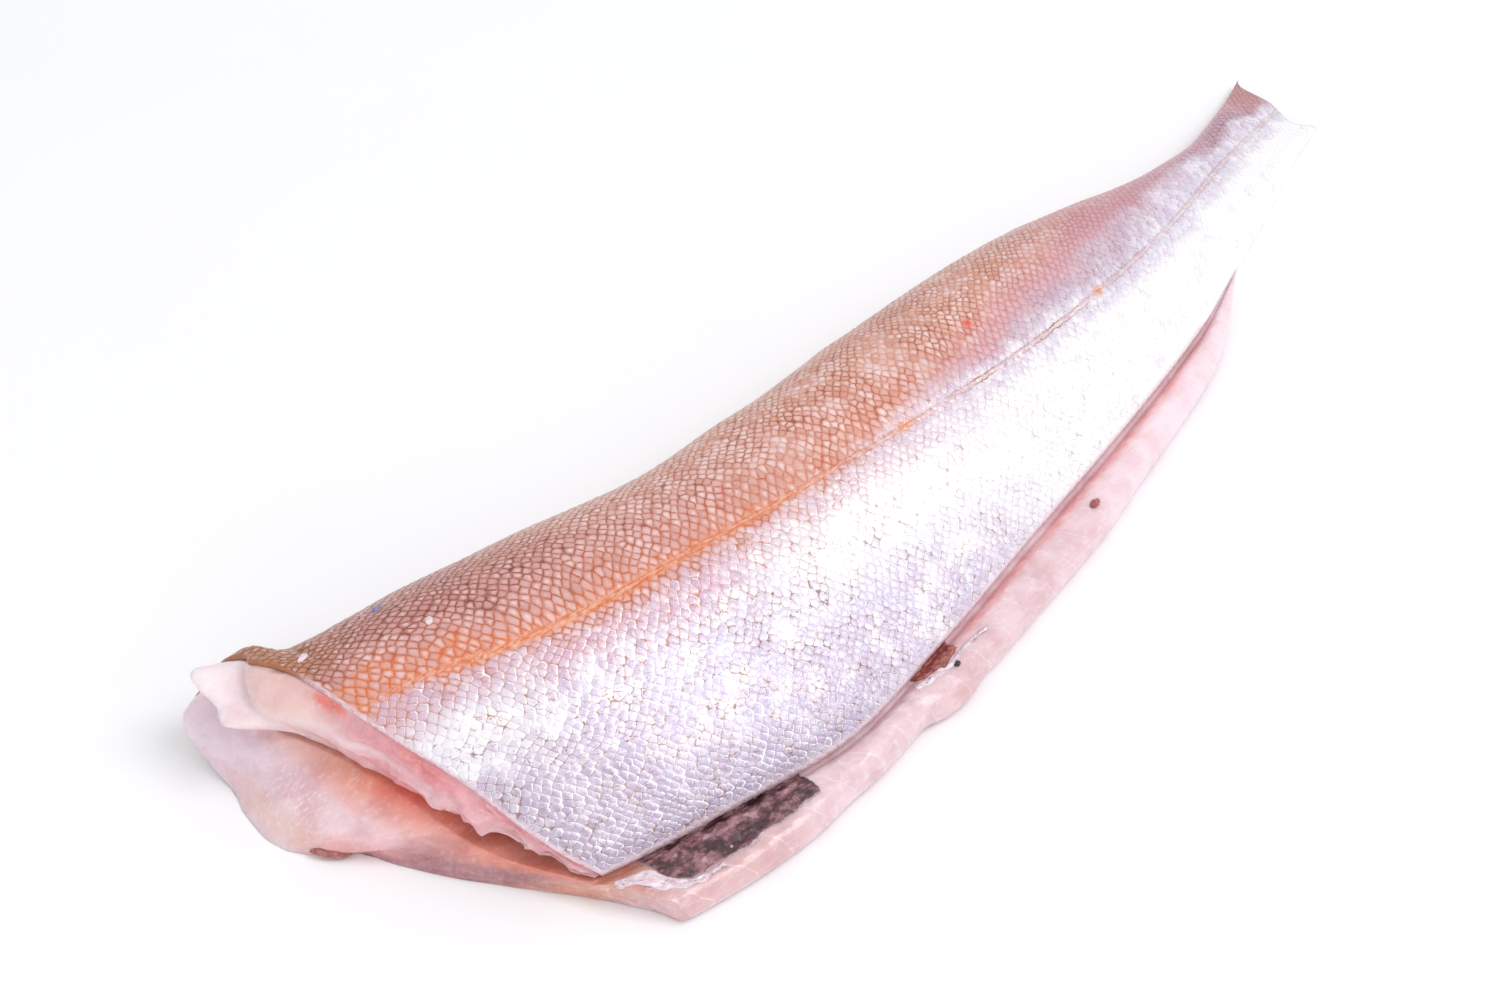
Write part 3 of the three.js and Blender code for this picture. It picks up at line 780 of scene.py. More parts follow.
def flesh_fields(x, y, way, through):
    """What the flesh is painted by: shares from 0 to 1 of each colour. Through is 1 on the inner sides."""
    lower = way < 0
    ragged = 0.05 * layered_noise(way * 9 + 3, through * 3 + x / 9, 71)
    about = way + ragged
    inside = x - head_cut_fold_x(way)
    in_mouth = fall(inside, 10, 30) * (through >= 1)
    on_cut = (through < 1) * 1.0
    near_mouth = np.maximum(on_cut, fall(inside, 2, 16))
    bare = uncovered(x, y) * lower
    beyond = upper_belly_y(x) - y

    knob = bump_at(about, 0.1, 0.09) * fall(through, 0.5, 0.8) * on_cut
    ridge = bump_at(about, 0.15, 0.14) * bump_at(through + 3 * ragged, 0.72, 0.16) * on_cut
    ridge = ridge + bump_at(about, 0.42, 0.18) * bump_at(through + 3 * ragged, 0.5, 0.1) * on_cut
    salmon = near_mouth * rise(through + ragged * 3, 0.5, 1.0) * rise(-about, 0.1, 0.34)
    salmon = np.where(lower, salmon * fall(-about, 0.7, 0.86), near_mouth * (through >= 1))
    blush = np.where(lower, 0, rise(about, 0.3, 0.46)) * on_cut
    peach = bump_at(about, 0.27, 0.1) * on_cut
    peach = peach + bump_at(about, -0.42, 0.08) * bump_at(through, 0.3, 0.2) * on_cut
    peach = peach + 0.8 * bump_at(about, -0.3, 0.1) * bump_at(through, 0.25, 0.25) * on_cut
    red = 1.1 * bump_at(about, 0.36, 0.025) * bump_at(through, 0.1, 0.12) * on_cut
    red = red + bump_at(about, 0.6, 0.05) * bump_at(through, 0.15, 0.18) * 0.45 * on_cut
    red = red + 0.8 * bump_at(about, -0.42, 0.13) * near_mouth * rise(through, 0.85, 1)
    red = red + 0.6 * bump_at(about, -0.52, 0.05) * on_cut * bump_at(through, 0.2, 0.35)
    # Painted shade: a darker salmon inside the gape between the two fillets.
    deep = in_mouth * np.where(lower, bump_at(about, -0.62, 0.16), 1) * rise(np.abs(way), 0.2, 0.4)
    lavender = bump_at(about, -0.1, 0.26) * fall(through, 0.55, 0.95) * on_cut * lower
    flap = rise(-about, 0.5, 0.6) * fall(-about, 0.84, 0.92) * near_mouth
    tan = bump_at(about, -0.83, 0.06) * near_mouth
    tan = tan + 0.8 * bump_at(about, -0.26, 0.16) * near_mouth * rise(through, 0.72, 1)
    # Pale fibre streaks: partly the muscle's fibres, partly painted glints on the wet flesh.
    fibres_and_glint = bump_at(about, -0.33, 0.12) * bump_at(through, 0.5, 0.3) * on_cut + 0.3 * bare
    # A deeper pink band along the upper fillet's belly edge, on its wall and on the strip beside it: partly
    # the flesh's colour, partly painted shade under that edge.
    pink_edge_and_shade = bare * bump_at(beyond, 0.6, 1.6) * rise(x, -40, -20) * fall(x, 50, 75)
    pink_edge_and_shade = np.where(lower, pink_edge_and_shade, rise(about, 0.9, 0.96) * rise(x, -50, -20))
    pale = bare * rise(x, -5, 50)
    dusky = bare * fall(x, -85, -60) + 0.5 * bare * bump_at(x, -28, 9)
    shred = np.where(lower, 0, rise(about, 0.52, 0.6) * rise(through, 0.3, 0.6)) * on_cut
    shares = dict(
        white=knob + 0.55 * ridge, salmon=salmon, blush=blush, peach=peach, red=red, deep=deep,
        lavender=lavender, flap=flap, tan=tan, fibres_and_glint=fibres_and_glint, pale=pale, dusky=dusky,
        pink_edge_and_shade=pink_edge_and_shade, shred=shred, bare=bare,
    )
    return {name: np.clip(values, 0, 1) for name, values in shares.items()}


# ---- small pieces on the lower fillet's bare strip --------------------------------------------------------


def strip_height(x, y):
    """Height of the lower fillet's inner side above a place on it."""
    fold_y, _ = inner_fold_y(x)
    edge_y, _ = belly_edge(x, False)
    way = -(fold_y - y) / (fold_y - edge_y - FLESH_AT_EDGE)
    point = flesh_point(x, way) + flesh_relief(x, way)
    return point[..., 2]


PATCH_SUNK, PATCH_RIM_SUNK = 0.25, 0.06  # how far a patch's underside and its rim lie in the flesh
PATCH_ROUNDING, PATCH_RIM_REACH = 3, 8  # steps from the rim over which it rises, and its colour changes
PATCH_UNDER_EVERY = 4  # its underside has one in so many of the upper side's points along and across
SHADOW_REACH = 0.9  # how far a patch goes on under the upper fillet's edge


def build_patch(name, x_range, near_y, far_y, thickness, wrinkle, steps, seed, material):
    """A thin film on the strip between two curves of y over x, with a ragged rim and wrinkles."""
    mesh = Mesh()
    along = np.linspace(0, 1, steps[0] + 1)
    across = np.linspace(0, 1, steps[1] + 1)
    t, s = np.meshgrid(along, across, indexing="ij")
    base_x = mix(x_range[0], x_range[1], t)
    rim = np.minimum(np.minimum(t, 1 - t) * steps[0], np.minimum(s, 1 - s) * steps[1])
    jag = 0.45 * layered_noise(base_x / 1.6, s * 7, seed)
    x = base_x + jag * 0.6
    y = mix(near_y(base_x), far_y(base_x), s) + jag
    relief = wrinkle * layered_noise(x / 2.4, y / 1.7, seed + 5)
    relief = relief + 0.5 * wrinkle * smooth_noise(x / 0.7, y / 0.6, seed + 9)
    ground = strip_height(x, y)
    rounding = np.sqrt(np.clip(rim / PATCH_ROUNDING, 0, 1))
    top_z = ground + (thickness + relief) * rounding - PATCH_RIM_SUNK * (rim == 0)
    top = mesh.sheet(np.stack([x, y, top_z], -1))
    every = slice(None, None, PATCH_UNDER_EVERY)
    under = mesh.sheet(np.stack([x, y, ground - PATCH_SUNK], -1)[every, every])
    mesh.weave(top, 0)
    mesh.weave(under, 0)
    for end in (0, -1):
        mesh.zip_rows(top[end], under[end], 0)
        mesh.zip_rows(top[:, end], under[:, end], 0)
    made = mesh.closed(name, [material])
    point_field(made, "from_rim", np.concatenate([rim.ravel() / PATCH_RIM_REACH, np.zeros(under.size)]))
    face_out(made)
    return made


def build_lump(name, at, sizes, turn, seed, material, rounds, dents):
    """A small closed lump, dented by noise, at a place in mm, with its half sizes."""
    mesh = Mesh()
    around = np.linspace(0, 2 * math.pi, 2 * rounds + 1)[:-1]
    up = np.linspace(0, math.pi, rounds + 1)
    a, b = np.meshgrid(around, up)
    unit = np.stack([np.sin(b) * np.cos(a), np.sin(b) * np.sin(a), np.cos(b)], -1)
    u, v, w = 2.2 * unit[..., 0], 2.2 * unit[..., 1], unit[..., 2]
    swell = 1 + dents * layered_noise(u + w, v + 2 * w, seed)
    swell = np.where((b == 0) | (b == math.pi), 1, swell)
    local = unit * swell[..., None] * np.array(sizes)
    cos, sin = math.cos(turn), math.sin(turn)
    x = at[0] + local[..., 0] * cos - local[..., 1] * sin
    y = at[1] + local[..., 0] * sin + local[..., 1] * cos
    numbers = mesh.sheet(np.stack([x, y, at[2] + local[..., 2]], -1))
    numbers[0], numbers[-1] = numbers[0, 0], numbers[-1, 0]
    mesh.weave(np.concatenate([numbers, numbers[:, :1]], 1), 0)
    made = mesh.closed(name, [material])
    face_out(made)
    return made


# ---- materials ------------------------------------------------------------------------------------------


def srgb(red, green, blue):
    """A colour as a screen shows it, from 0 to 255, as the shader's linear numbers."""
    shown = np.array([red, green, blue]) / 255
    linear = np.where(shown <= 0.04045, shown / 12.92, ((shown + 0.055) / 1.055) ** 2.4)
    return (*linear.tolist(), 1.0)


class Value:
    """A number or colour that a node gives, so that sums of such numbers can be written as sums."""

    def __init__(self, paint, socket):
        self.paint, self.socket = paint, socket

    def __add__(self, other):
        return self.paint.math("ADD", self, other)

    def __sub__(self, other):
        return self.paint.math("SUBTRACT", self, other)

    def __rsub__(self, other):
        return self.paint.math("SUBTRACT", other, self)

    def __mul__(self, other):
        return self.paint.math("MULTIPLY", self, other)

    def __truediv__(self, other):
        return self.paint.math("DIVIDE", self, other)

    def __abs__(self):
        return self.paint.math("ABSOLUTE", self)

    def step(self, low, high, to_low=0.0, to_high=1.0):
        """A smooth step between low and high, from to_low to to_high."""
        return self.paint.add(
            "ShaderNodeMapRange", "Result", (self, low, high, to_low, to_high),
            interpolation_type="SMOOTHSTEP",
        )

    def fall(self, low, high):
        """A smooth step between low and high, from 1 to 0."""
        return self.step(low, high, 1.0, 0.0)


class Paint:
    """Builds one material's inputs out of nodes, working in millimetres."""

    def __init__(self, name):
        self.material = bpy.data.materials.new(name)
        self.material.use_nodes = True
        self.tree = self.material.node_tree
        self.shader = self.tree.nodes["Principled BSDF"]
        where = self.node("ShaderNodeTexCoord").outputs["Object"]
        self.place = self.vector("SCALE", where, scale=1 / MM)

    def node(self, kind, **settings):
        made = self.tree.nodes.new(kind)
        for name, value in settings.items():
            setattr(made, name, value)
        return made

    def feed(self, socket, value):
        """Links an output to the socket, or sets a constant on it."""
        value = getattr(value, "socket", value)
        if isinstance(value, bpy.types.NodeSocket):
            self.tree.links.new(value, socket)
        else:
            socket.default_value = value

    def add(self, kind, output, inputs, **settings):
        """Adds a node and returns one of its outputs. The inputs are in the node's order, or by name."""
        node = self.node(kind, **settings)
        named = inputs.items() if isinstance(inputs, dict) else enumerate(inputs)
        for name, value in named:
            self.feed(node.inputs[name], value)
        return Value(self, node.outputs[output])

    def vector(self, operation, a, b=None, scale=None):
        given = {0: a, 1: b, "Scale": scale}
        given = {name: value for name, value in given.items() if value is not None}
        return self.add("ShaderNodeVectorMath", 0, given, operation=operation)

    def math(self, operation, a, b=0.0):
        return self.add("ShaderNodeMath", 0, (a, b), operation=operation)

    def field(self, name):
        return self.add("ShaderNodeAttribute", "Fac", (), attribute_name=name)

    def parts(self, whole, kind="XYZ"):
        """The three numbers of a vector, or of a colour where the kind is Color."""
        node = self.node("ShaderNodeSeparate" + kind)
        self.feed(node.inputs[0], whole)
        return [Value(self, output) for output in node.outputs[:3]]

    def noise(self, size, detail=2.0, rough=0.5, stretch=(1, 1, 1), shift=0.0):
        """Noise from 0 to 1 with features of about that size in mm."""
        place = self.vector("MULTIPLY", self.place, stretch)
        place = self.vector("ADD", place, (shift, shift * 1.7, shift * 0.6))
        given = {"Vector": place, "Scale": 1 / size, "Detail": detail, "Roughness": rough}
        return self.add("ShaderNodeTexNoise", "Fac", given)

    def blend(self, under, over, share):
        """Two colours, as values or as a screen shows them, mixed by the share of the one on top."""
        given = {"Factor": share, "A": under, "B": over}
        given = {name: srgb(*value) if isinstance(value, tuple) else value for name, value in given.items()}
        return self.add("ShaderNodeMix", "Result", given, data_type="RGBA")

    def pick(self, share, a, b):
        """Number a where share is 0, and b where it is 1."""
        given = {"Factor": share, "A": a, "B": b}
        return self.add("ShaderNodeMix", "Result", given, data_type="FLOAT")

    def bump(self, height, depth):
        """Tilts the shading as a relief of that depth in mm would."""
        given = {"Height": height, "Distance": depth * MM, "Strength": 1.0}
        return self.add("ShaderNodeBump", "Normal", given)

    def shade(self, soft=None, **inputs):
        """The material. Soft: how much light goes under the surface, and how far in mm for each colour."""
        if soft:
            share, reach = soft
            inputs["Subsurface_Weight"] = share
            inputs["Subsurface_Radius"] = [far * MM for far in reach]
            inputs["Subsurface_Scale"] = 1.0
        for name, value in inputs.items():
            self.feed(self.shader.inputs[name.replace("_", " ")], value)
        return self.material


def skin_material():
    """Scales as small rounded plates, coppery over the back and silver below the lateral line."""
    p = Paint("fish_skin")
    grid = p.node("ShaderNodeUVMap", uv_map="scales").outputs["UV"]
    cells = cell_texture(p.tree, grid, "F1")
    from_edge = cell_texture(p.tree, grid, "DISTANCE_TO_EDGE").outputs["Distance"]
    luck, second_luck, third_luck = p.parts(cells.outputs["Color"], "Color")
    from_middle = Value(p, cells.outputs["Distance"])
    offset_u, offset_v, _ = p.parts(p.vector("SUBTRACT", grid, cells.outputs["Position"]))
    along = offset_u + offset_v

    fine = p.noise(0.32, 2)
    small = p.noise(1.2, 3, 0.6)
    middle = p.noise(5, 3, 0.6, shift=20)
    broad = p.noise(17, 2, shift=50)
    across_mm = p.field("across_mm")
    along_mm = p.field("along_mm")
    rounded = (0.68 - from_middle) * 0.55
    edge = p.math("MINIMUM", from_edge, rounded)
    edge = edge + (fine - 0.5) * 0.1
    line = edge.fall(0.01, 0.11)
    soft_line = edge.fall(0.0, 0.25)
    corner = rounded.fall(0.0, 0.09)

    # The copper side: pinkish plates in a web of brown, tan by the back, orange by the lateral line.
    plate = p.blend((230, 188, 186), (210, 154, 150), luck)
    tan = p.blend((230, 186, 166), (210, 154, 130), luck)
    warm = along_mm.step(-70, -10) * along_mm.step(40, 90, 1.0, 0.3)
    plate = p.blend(plate, p.blend((236, 186, 172), (216, 144, 120), luck), warm * 0.8)
    plate = p.blend(plate, tan, (across_mm + middle * 10.0).step(14, 30))
    bright = (p.noise(4, 3, 0.6, shift=26) + second_luck * 0.2).step(0.58, 0.72)
    plate = p.blend(plate, (240, 212, 210), bright * along_mm.step(-70, -30, 0.3, 0.6))
    plate = p.blend(plate, (206, 138, 118), broad.step(0.45, 0.7) * 0.45)
    dark = p.field("dark") * middle.step(0.2, 0.6, 0.6, 1.0)
    plate = p.blend(plate, (184, 110, 102), dark * 0.75)
    plate = p.blend(plate, (226, 174, 170), dark * third_luck * 0.5)
    web = p.blend((206, 132, 108), (156, 80, 62), dark)
    web = p.blend(web, (206, 122, 92), warm * 0.6)
    thin = p.blend((150, 82, 62), (108, 54, 42), dark)
    orange = p.field("orange") * (small + middle * 0.5).step(0.45, 0.95, 0.3, 1.0)
    web = p.blend(web, (230, 126, 74), orange * 0.9)
    thin = p.blend(thin, (222, 112, 62), orange * 0.85)
    plate = p.blend(plate, (228, 142, 102), orange.step(0.5, 1.0) * 0.75)
    cap = p.field("cap")
    plate = p.blend(plate, (186, 122, 84), cap * 0.85)
    web = p.blend(web, (160, 92, 50), cap)
    thin = p.blend(thin, (116, 62, 32), cap)
    faint = p.noise(8, 3, 0.6, shift=41).step(0.36, 0.62, 0.25, 1.0) + dark * 0.5
    faint = p.pick(along_mm.step(-75, -15), 1.0, p.math("MINIMUM", faint, 1.0))
    web_share = soft_line * small.step(0.25, 0.7, 0.55, 0.9)
    copper = p.blend(plate, web, web_share * faint)
    thin_share = line * small.step(0.35, 0.6, 0.3, 1.0)
    copper = p.blend(copper, thin, thin_share * faint)
    # Painted highlights: near-white specks near some plates' edges, in place of the shine on wet skin.
    wet = edge.step(0.16, 0.3) * ((small + second_luck * 0.3).step(0.6, 0.85) * 0.4)
    copper = p.blend(copper, (252, 232, 232), wet)
    rosy = p.field("rosy")
    rosy_web = soft_line * 0.6 + small * 0.3
    rosy_skin = p.blend((228, 166, 172), (192, 124, 132), rosy_web)
    late = along_mm.step(30, 75)
    rosy_skin = p.blend(rosy_skin, p.blend((212, 150, 162), (178, 108, 124), rosy_web), late)
    copper = p.blend(copper, (196, 134, 150), late * small.step(0.3, 0.7, 0.3, 0.75))
    copper = p.blend(copper, rosy_skin, rosy * 0.75)
    copper = p.blend(copper, (232, 82, 50), p.field("red_spot") * small.step(0.2, 0.6, 0.5, 1.0))

    # The silver side: pearly plates with bright painted glints at their edges, white patches that are partly
    # painted highlight, and brown threads between some.
    patches = p.noise(6.5, 4, 0.62, shift=70)
    pearl = p.blend((216, 197, 216), (240, 231, 242), luck)
    pearl = p.blend(pearl, (206, 184, 208), second_luck.step(0.6, 0.9) * 0.7)
    pink = p.field("rosy_band") * middle.step(0.25, 0.65, 0.45, 1.0)
    pearl = p.blend(pearl, (216, 162, 180), pink * luck.step(0.0, 1.0, 0.5, 0.95))
    lavender = p.field("lavender") * patches.step(0.42, 0.54)
    pearl = p.blend(pearl, (208, 199, 226), lavender * third_luck.step(0.0, 0.8, 0.4, 0.95))
    grey = p.field("grey") * small.step(0.3, 0.6, 0.6, 1.0)
    pearl = p.blend(pearl, (166, 150, 174), grey * 0.9)
    # White patches and pale blotches: partly the silver's own colour, partly painted highlight.
    pale = patches.fall(0.34, 0.5) * p.pick(p.field("grey"), 0.5, 0.1)
    white = p.field("white") + pale
    white = p.math("MINIMUM", white, 1.0)
    white = white * (middle + luck * 0.3).step(0.34, 0.6, 0.6, 1.0)
    pearl = p.blend(pearl, (255, 253, 255), white)
    # The scales' grey outlines, darker on the side that lies under the next scale's free edge: the outline
    # is the skin's own, the darkening there is painted shade.
    outline_and_shade = line * along.step(-0.35, 0.25, 0.9, 0.35)
    outline_and_shade = outline_and_shade * small.step(0.35, 0.6, 0.1, 1.0)
    pearl = p.blend(pearl, (166, 138, 162), outline_and_shade * p.pick(white, 0.9, 0.05))
    rust = soft_line * pink * small.step(0.3, 0.6, 0.3, 1.0)
    pearl = p.blend(pearl, (206, 120, 84), rust * 0.75)
    # Painted highlights: bright glints along the scales' free edges.
    shine = along.step(0.0, 0.3) * edge.fall(0.02, 0.16)
    shine = shine * (small + third_luck * 0.25).step(0.46, 0.64)
    pearl = p.blend(pearl, (255, 253, 255), shine)
    specks = p.field("specks")
    clusters = p.noise(4.2, 3, 0.7, shift=33).step(0.45, 0.55)
    hair = abs(p.noise(2.0, 2, 0.5, shift=44) - 0.5)
    hair = hair.fall(0.006, 0.016) * small.step(0.42, 0.52)
    thread = p.math("MAXIMUM", edge.fall(0.0, 0.07), corner * 0.3)
    thread = p.math("MAXIMUM", thread, hair)
    thread = thread * clusters * p.noise(1.1, 2, 0.6, shift=37).step(0.38, 0.5)
    thread_colour = p.blend((146, 98, 68), (200, 118, 64), across_mm.step(-20, -6))
    pearl = p.blend(pearl, thread_colour, thread * specks * 0.95)
    dust = p.noise(0.24, 2, 0.7, shift=9).step(0.6, 0.66) * middle.step(0.36, 0.56, 0.2, 1.0)
    pearl = p.blend(pearl, (98, 78, 92), dust * p.field("dust") * 0.75)
    mauve = p.field("mauve") * (middle + luck * 0.3).step(0.3, 0.7, 0.6, 1.0)
    mauve_skin = p.blend((190, 142, 160), (148, 96, 114), soft_line)
    # The mauve skin gets the same painted glints, weaker.
    mauve_skin = p.blend(mauve_skin, (244, 236, 246), shine * 0.55)
    pearl = p.blend(pearl, mauve_skin, mauve * 0.95)
    pearl = p.blend(pearl, rosy_skin, rosy * 0.8)

    # Scale by scale, the copper side gives way to the silver one.
    side_luck = (luck - 0.5) * along_mm.step(-50, -10, 0.22, 0.08)
    side = p.field("copper") + side_luck
    side = side + (small - 0.5) * 0.5
    blur = along_mm.step(-50, 0, 0.16, 0.36)
    side = ((side - 0.5) / blur).step(-1.0, 1.0)
    colour = p.blend(pearl, copper, side)

    # The lateral line, fine orange threads by the head and a thin pale line towards the tail.
    threads = p.noise(0.34, 3, 0.6, stretch=(0.14, 0.75, 0.75), shift=60)
    wobble = abs(across_mm) + (small - 0.5) * 1.2
    reach = along_mm.step(-80, 20, 1.15, 0.42)
    band = (wobble / reach).fall(0.4, 1.15)
    band = band * along_mm.step(-60, 60, 0.85, 0.5)
    band = band * along_mm.step(-128, -100)
    near_colour = p.blend((240, 176, 146), (224, 118, 68), threads.step(0.4, 0.6))
    far_colour = p.blend((240, 218, 216), (206, 158, 150), threads.step(0.4, 0.6))
    line_colour = p.blend(near_colour, far_colour, along_mm.step(-50, 15))
    colour = p.blend(colour, line_colour, band)
    groove = abs(wobble - 0.45).fall(0.02, 0.2)
    groove_share = middle.step(0.35, 0.6, 0.0, 0.7) + p.field("brown_dash")
    groove = groove * groove_share * along_mm.step(-100, -60)
    groove_colour = p.blend((196, 104, 62), (178, 122, 116), along_mm.step(-60, 30))
    colour = p.blend(colour, groove_colour, groove * along_mm.step(60, 132, 1.0, 0.6))
    dash = p.field("dash") * (threads + small * 0.5).step(0.55, 0.8)
    colour = p.blend(colour, (232, 142, 84), dash)

    # The cut edges: a pale pinkish rim.
    from_cut = p.field("from_belly_mm") + along_mm.step(66, 86, 0.0, 5.0)
    rim_share = p.math("MINIMUM", p.field("from_head_mm"), from_cut).fall(0.1, 0.8)
    rim_share = rim_share * (1.0 - cap)
    colour = p.blend(colour, (236, 210, 216), rim_share * 0.8)

    gloss = p.pick(side, 0.26, 0.42) + (small - 0.5) * 0.25
    dome = edge.step(0.0, 0.3) * p.pick(side, 0.5, 1.0)
    height = dome + along * 0.7 + (fine * 0.35 + small * 0.7)
    return p.shade(
        Base_Color=colour,
        Roughness=gloss,
        Metallic=(1.0 - side) * 0.12,
        Normal=p.bump(height, 0.12),
        soft=(0.08, (1, 0.6, 0.5)),
        Coat_Weight=0.35,
        Coat_Roughness=0.14,
    )


def cut_skin_material():
    """The skin's inner side and its cut edge."""
    p = Paint("skin_edge")
    fleck = p.noise(0.9, 3, 0.6)
    colour = p.blend((238, 214, 224), (208, 166, 178), fleck.step(0.4, 0.7))
    colour = p.blend(colour, (188, 140, 132), p.noise(2.6, 2, shift=5).step(0.55, 0.7) * 0.5)
    x, y, _ = p.parts(p.place)
    by_the_cap = y.step(17, 23) * x.fall(-112, -100)
    colour = p.blend(colour, p.blend((150, 92, 58), (188, 126, 92), fleck), by_the_cap)
    return p.shade(
        Base_Color=colour,
        Roughness=fleck.step(0, 1, 0.3, 0.5),
        Normal=p.bump(fleck, 0.06),
        soft=(0.4, (1.6, 0.8, 0.6)),
    )


# From the lowest layer to the top one: the field that it follows, its two colours, and its strength.
FLESH_LAYERS = [
    ("lavender", (232, 212, 224), (222, 200, 214), 0.9),
    ("pale", (250, 226, 234), (246, 216, 224), 0.9),
    # This pink edge layer is partly painted shade under the upper fillet's edge.
    ("pink_edge_and_shade", (242, 184, 184), (238, 162, 160), 0.85),
    ("peach", (234, 198, 192), (228, 184, 174), 0.85),
    ("dusky", (220, 178, 178), (210, 166, 166), 0.85),
    ("flap", (166, 102, 108), (150, 88, 94), 0.9),
    ("salmon", (232, 150, 132), (220, 124, 104), 0.9),
    ("tan", (230, 168, 142), (218, 152, 126), 0.85),
    ("blush", (228, 150, 156), (218, 130, 136), 0.9),
    ("shred", (230, 184, 190), (218, 156, 162), 0.85),
    # deep is painted shade in the gape between the fillets.
    ("deep", (218, 140, 122), (202, 122, 106), 0.9),
    ("red", (246, 112, 86), (232, 98, 78), 0.85),
    ("white", (246, 234, 238), (240, 222, 227), 0.95),
]


def flesh_material():
    """Raw white-fish muscle: pale and see-through pink, wetter and redder where it was cut deep, and darker
    in the gape between the fillets as painted shade.
    """
    p = Paint("raw_flesh")
    fine = p.noise(0.5, 3, 0.6)
    small = p.noise(1.8, 3, 0.6, shift=4)
    middle = p.noise(6, 3, 0.55, shift=12)
    fibre = p.noise(0.7, 3, 0.6, stretch=(0.22, 1, 1), shift=30)
    colour = p.blend((234, 206, 212), (220, 182, 188), middle.step(0.35, 0.68))
    colour = p.blend(colour, (246, 230, 238), small.step(0.52, 0.75) * 0.5)

    for name, colour_a, colour_b, strength in FLESH_LAYERS:
        share = p.field(name) * small.step(0.25, 0.6, strength * 0.8, strength)
        colour = p.blend(colour, p.blend(colour_a, colour_b, middle.step(0.35, 0.65)), share)

    # Thin pale sheets between the muscle segments, and pale fibres across them that are partly painted
    # glints.
    x, y, _ = p.parts(p.place)
    slant = x + y * 0.9
    slant = slant + middle * 5.0
    segment = p.math("FRACT", slant / 8.5)
    sheet_line = abs(segment - 0.5).fall(0.0, 0.035)
    sheet_line = sheet_line * small.step(0.35, 0.6, 0.2, 1.0)
    colour = p.blend(colour, (252, 242, 248), sheet_line * (p.field("bare") * 0.4))
    fibres_and_glint = p.pick(p.field("fibres_and_glint"), 0.1, 0.5)
    colour = p.blend(colour, (252, 240, 244), fibre.step(0.5, 0.68) * fibres_and_glint)

    height = fine * 0.4 + (small * 0.8 + fibre * 0.5)
    return p.shade(
        Base_Color=colour,
        Roughness=small.step(0.2, 0.8, 0.24, 0.44),
        Normal=p.bump(height, 0.2),
        soft=(0.35, (2.2, 1.3, 1.1)),
        Coat_Weight=0.65,
        Coat_Roughness=0.12,
    )


def lining_material():
    """The belly's black lining: torn, mottled from brown-black to pink, with a wet shine."""
    p = Paint("belly_lining")
    fine = p.noise(0.35, 3, 0.7)
    small = p.noise(1.5, 4, 0.65, shift=7)
    middle = p.noise(4.2, 3, 0.6, stretch=(0.8, 1.4, 1), shift=3)
    colour = p.blend((100, 58, 62), (158, 108, 116), small.step(0.42, 0.6))
    colour = p.blend(colour, (54, 28, 34), middle.step(0.46, 0.6) * 0.85)
    bare = (middle + small * 0.45).fall(0.52, 0.68)
    colour = p.blend(colour, (206, 162, 172), bare * 0.85)
    rim = (p.field("from_rim") + small * 0.3).fall(0.2, 0.42)
    colour = p.blend(colour, (216, 192, 204), rim * 0.7)
    specks = p.noise(0.4, 2, 0.7, shift=40).step(0.62, 0.68)
    colour = p.blend(colour, (48, 26, 32), specks * 0.75)
    height = fine * 0.5 + small
    return p.shade(
        Base_Color=colour,
        Roughness=fine.step(0.3, 0.7, 0.25, 0.45),
        Normal=p.bump(height, 0.2),
        Coat_Weight=0.2,
        Coat_Roughness=0.12,
    )


def film_material():
    """Whitish connective film."""
    p = Paint("pale_film")
    small = p.noise(1.1, 3, 0.65)
    streak = p.noise(0.8, 3, 0.6, stretch=(0.3, 1, 1), shift=15)
    colour = p.blend((240, 220, 228), (226, 192, 202), small.step(0.42, 0.66))
    colour = p.blend(colour, (252, 242, 247), streak.step(0.5, 0.7) * 0.6)
    return p.shade(
        Base_Color=colour,
        Roughness=small.step(0.2, 0.8, 0.25, 0.45),
        Normal=p.bump(small + streak, 0.14),
        soft=(0.15, (1, 0.9, 0.8)),
        Coat_Weight=0.5,
        Coat_Roughness=0.12,
    )


def blood_material(name, light, dark, wet=0.5):
    """Clotted blood or dark tissue, mottled between two colours."""
    p = Paint(name)
    small = p.noise(0.9, 3, 0.65)
    fine = p.noise(0.3, 2, 0.6, shift=6)
    colour = p.blend(light, dark, (small + fine * 0.3).step(0.5, 0.8))
    return p.shade(
        Base_Color=colour,
        Roughness=fine.step(0.3, 0.7, 0.25, 0.45),
        Normal=p.bump(small + fine, 0.12),
        soft=(0.15, (1.2, 0.4, 0.3)),
        Coat_Weight=wet,
        Coat_Roughness=0.1,
    )


# ---- the pieces -----------------------------------------------------------------------------------------

edge_of_skin = cut_skin_material()
film = film_material()
lining = lining_material()
clot = blood_material("clotted_blood", (188, 108, 98), (136, 70, 66))
black = blood_material("black_tissue", (52, 34, 40), (18, 10, 14))
tissue = blood_material("torn_tissue", (190, 118, 114), (146, 76, 72), 0.6)
blue_grey = blood_material("blue_tissue", (150, 148, 190), (104, 104, 150))

skin = build_skin([skin_material(), edge_of_skin])
flesh = build_flesh([flesh_material()])


def belly_shadow_y(x):
    """The edge of a patch that goes on under the upper fillet, out of sight."""
    return upper_belly_y(x) + SHADOW_REACH


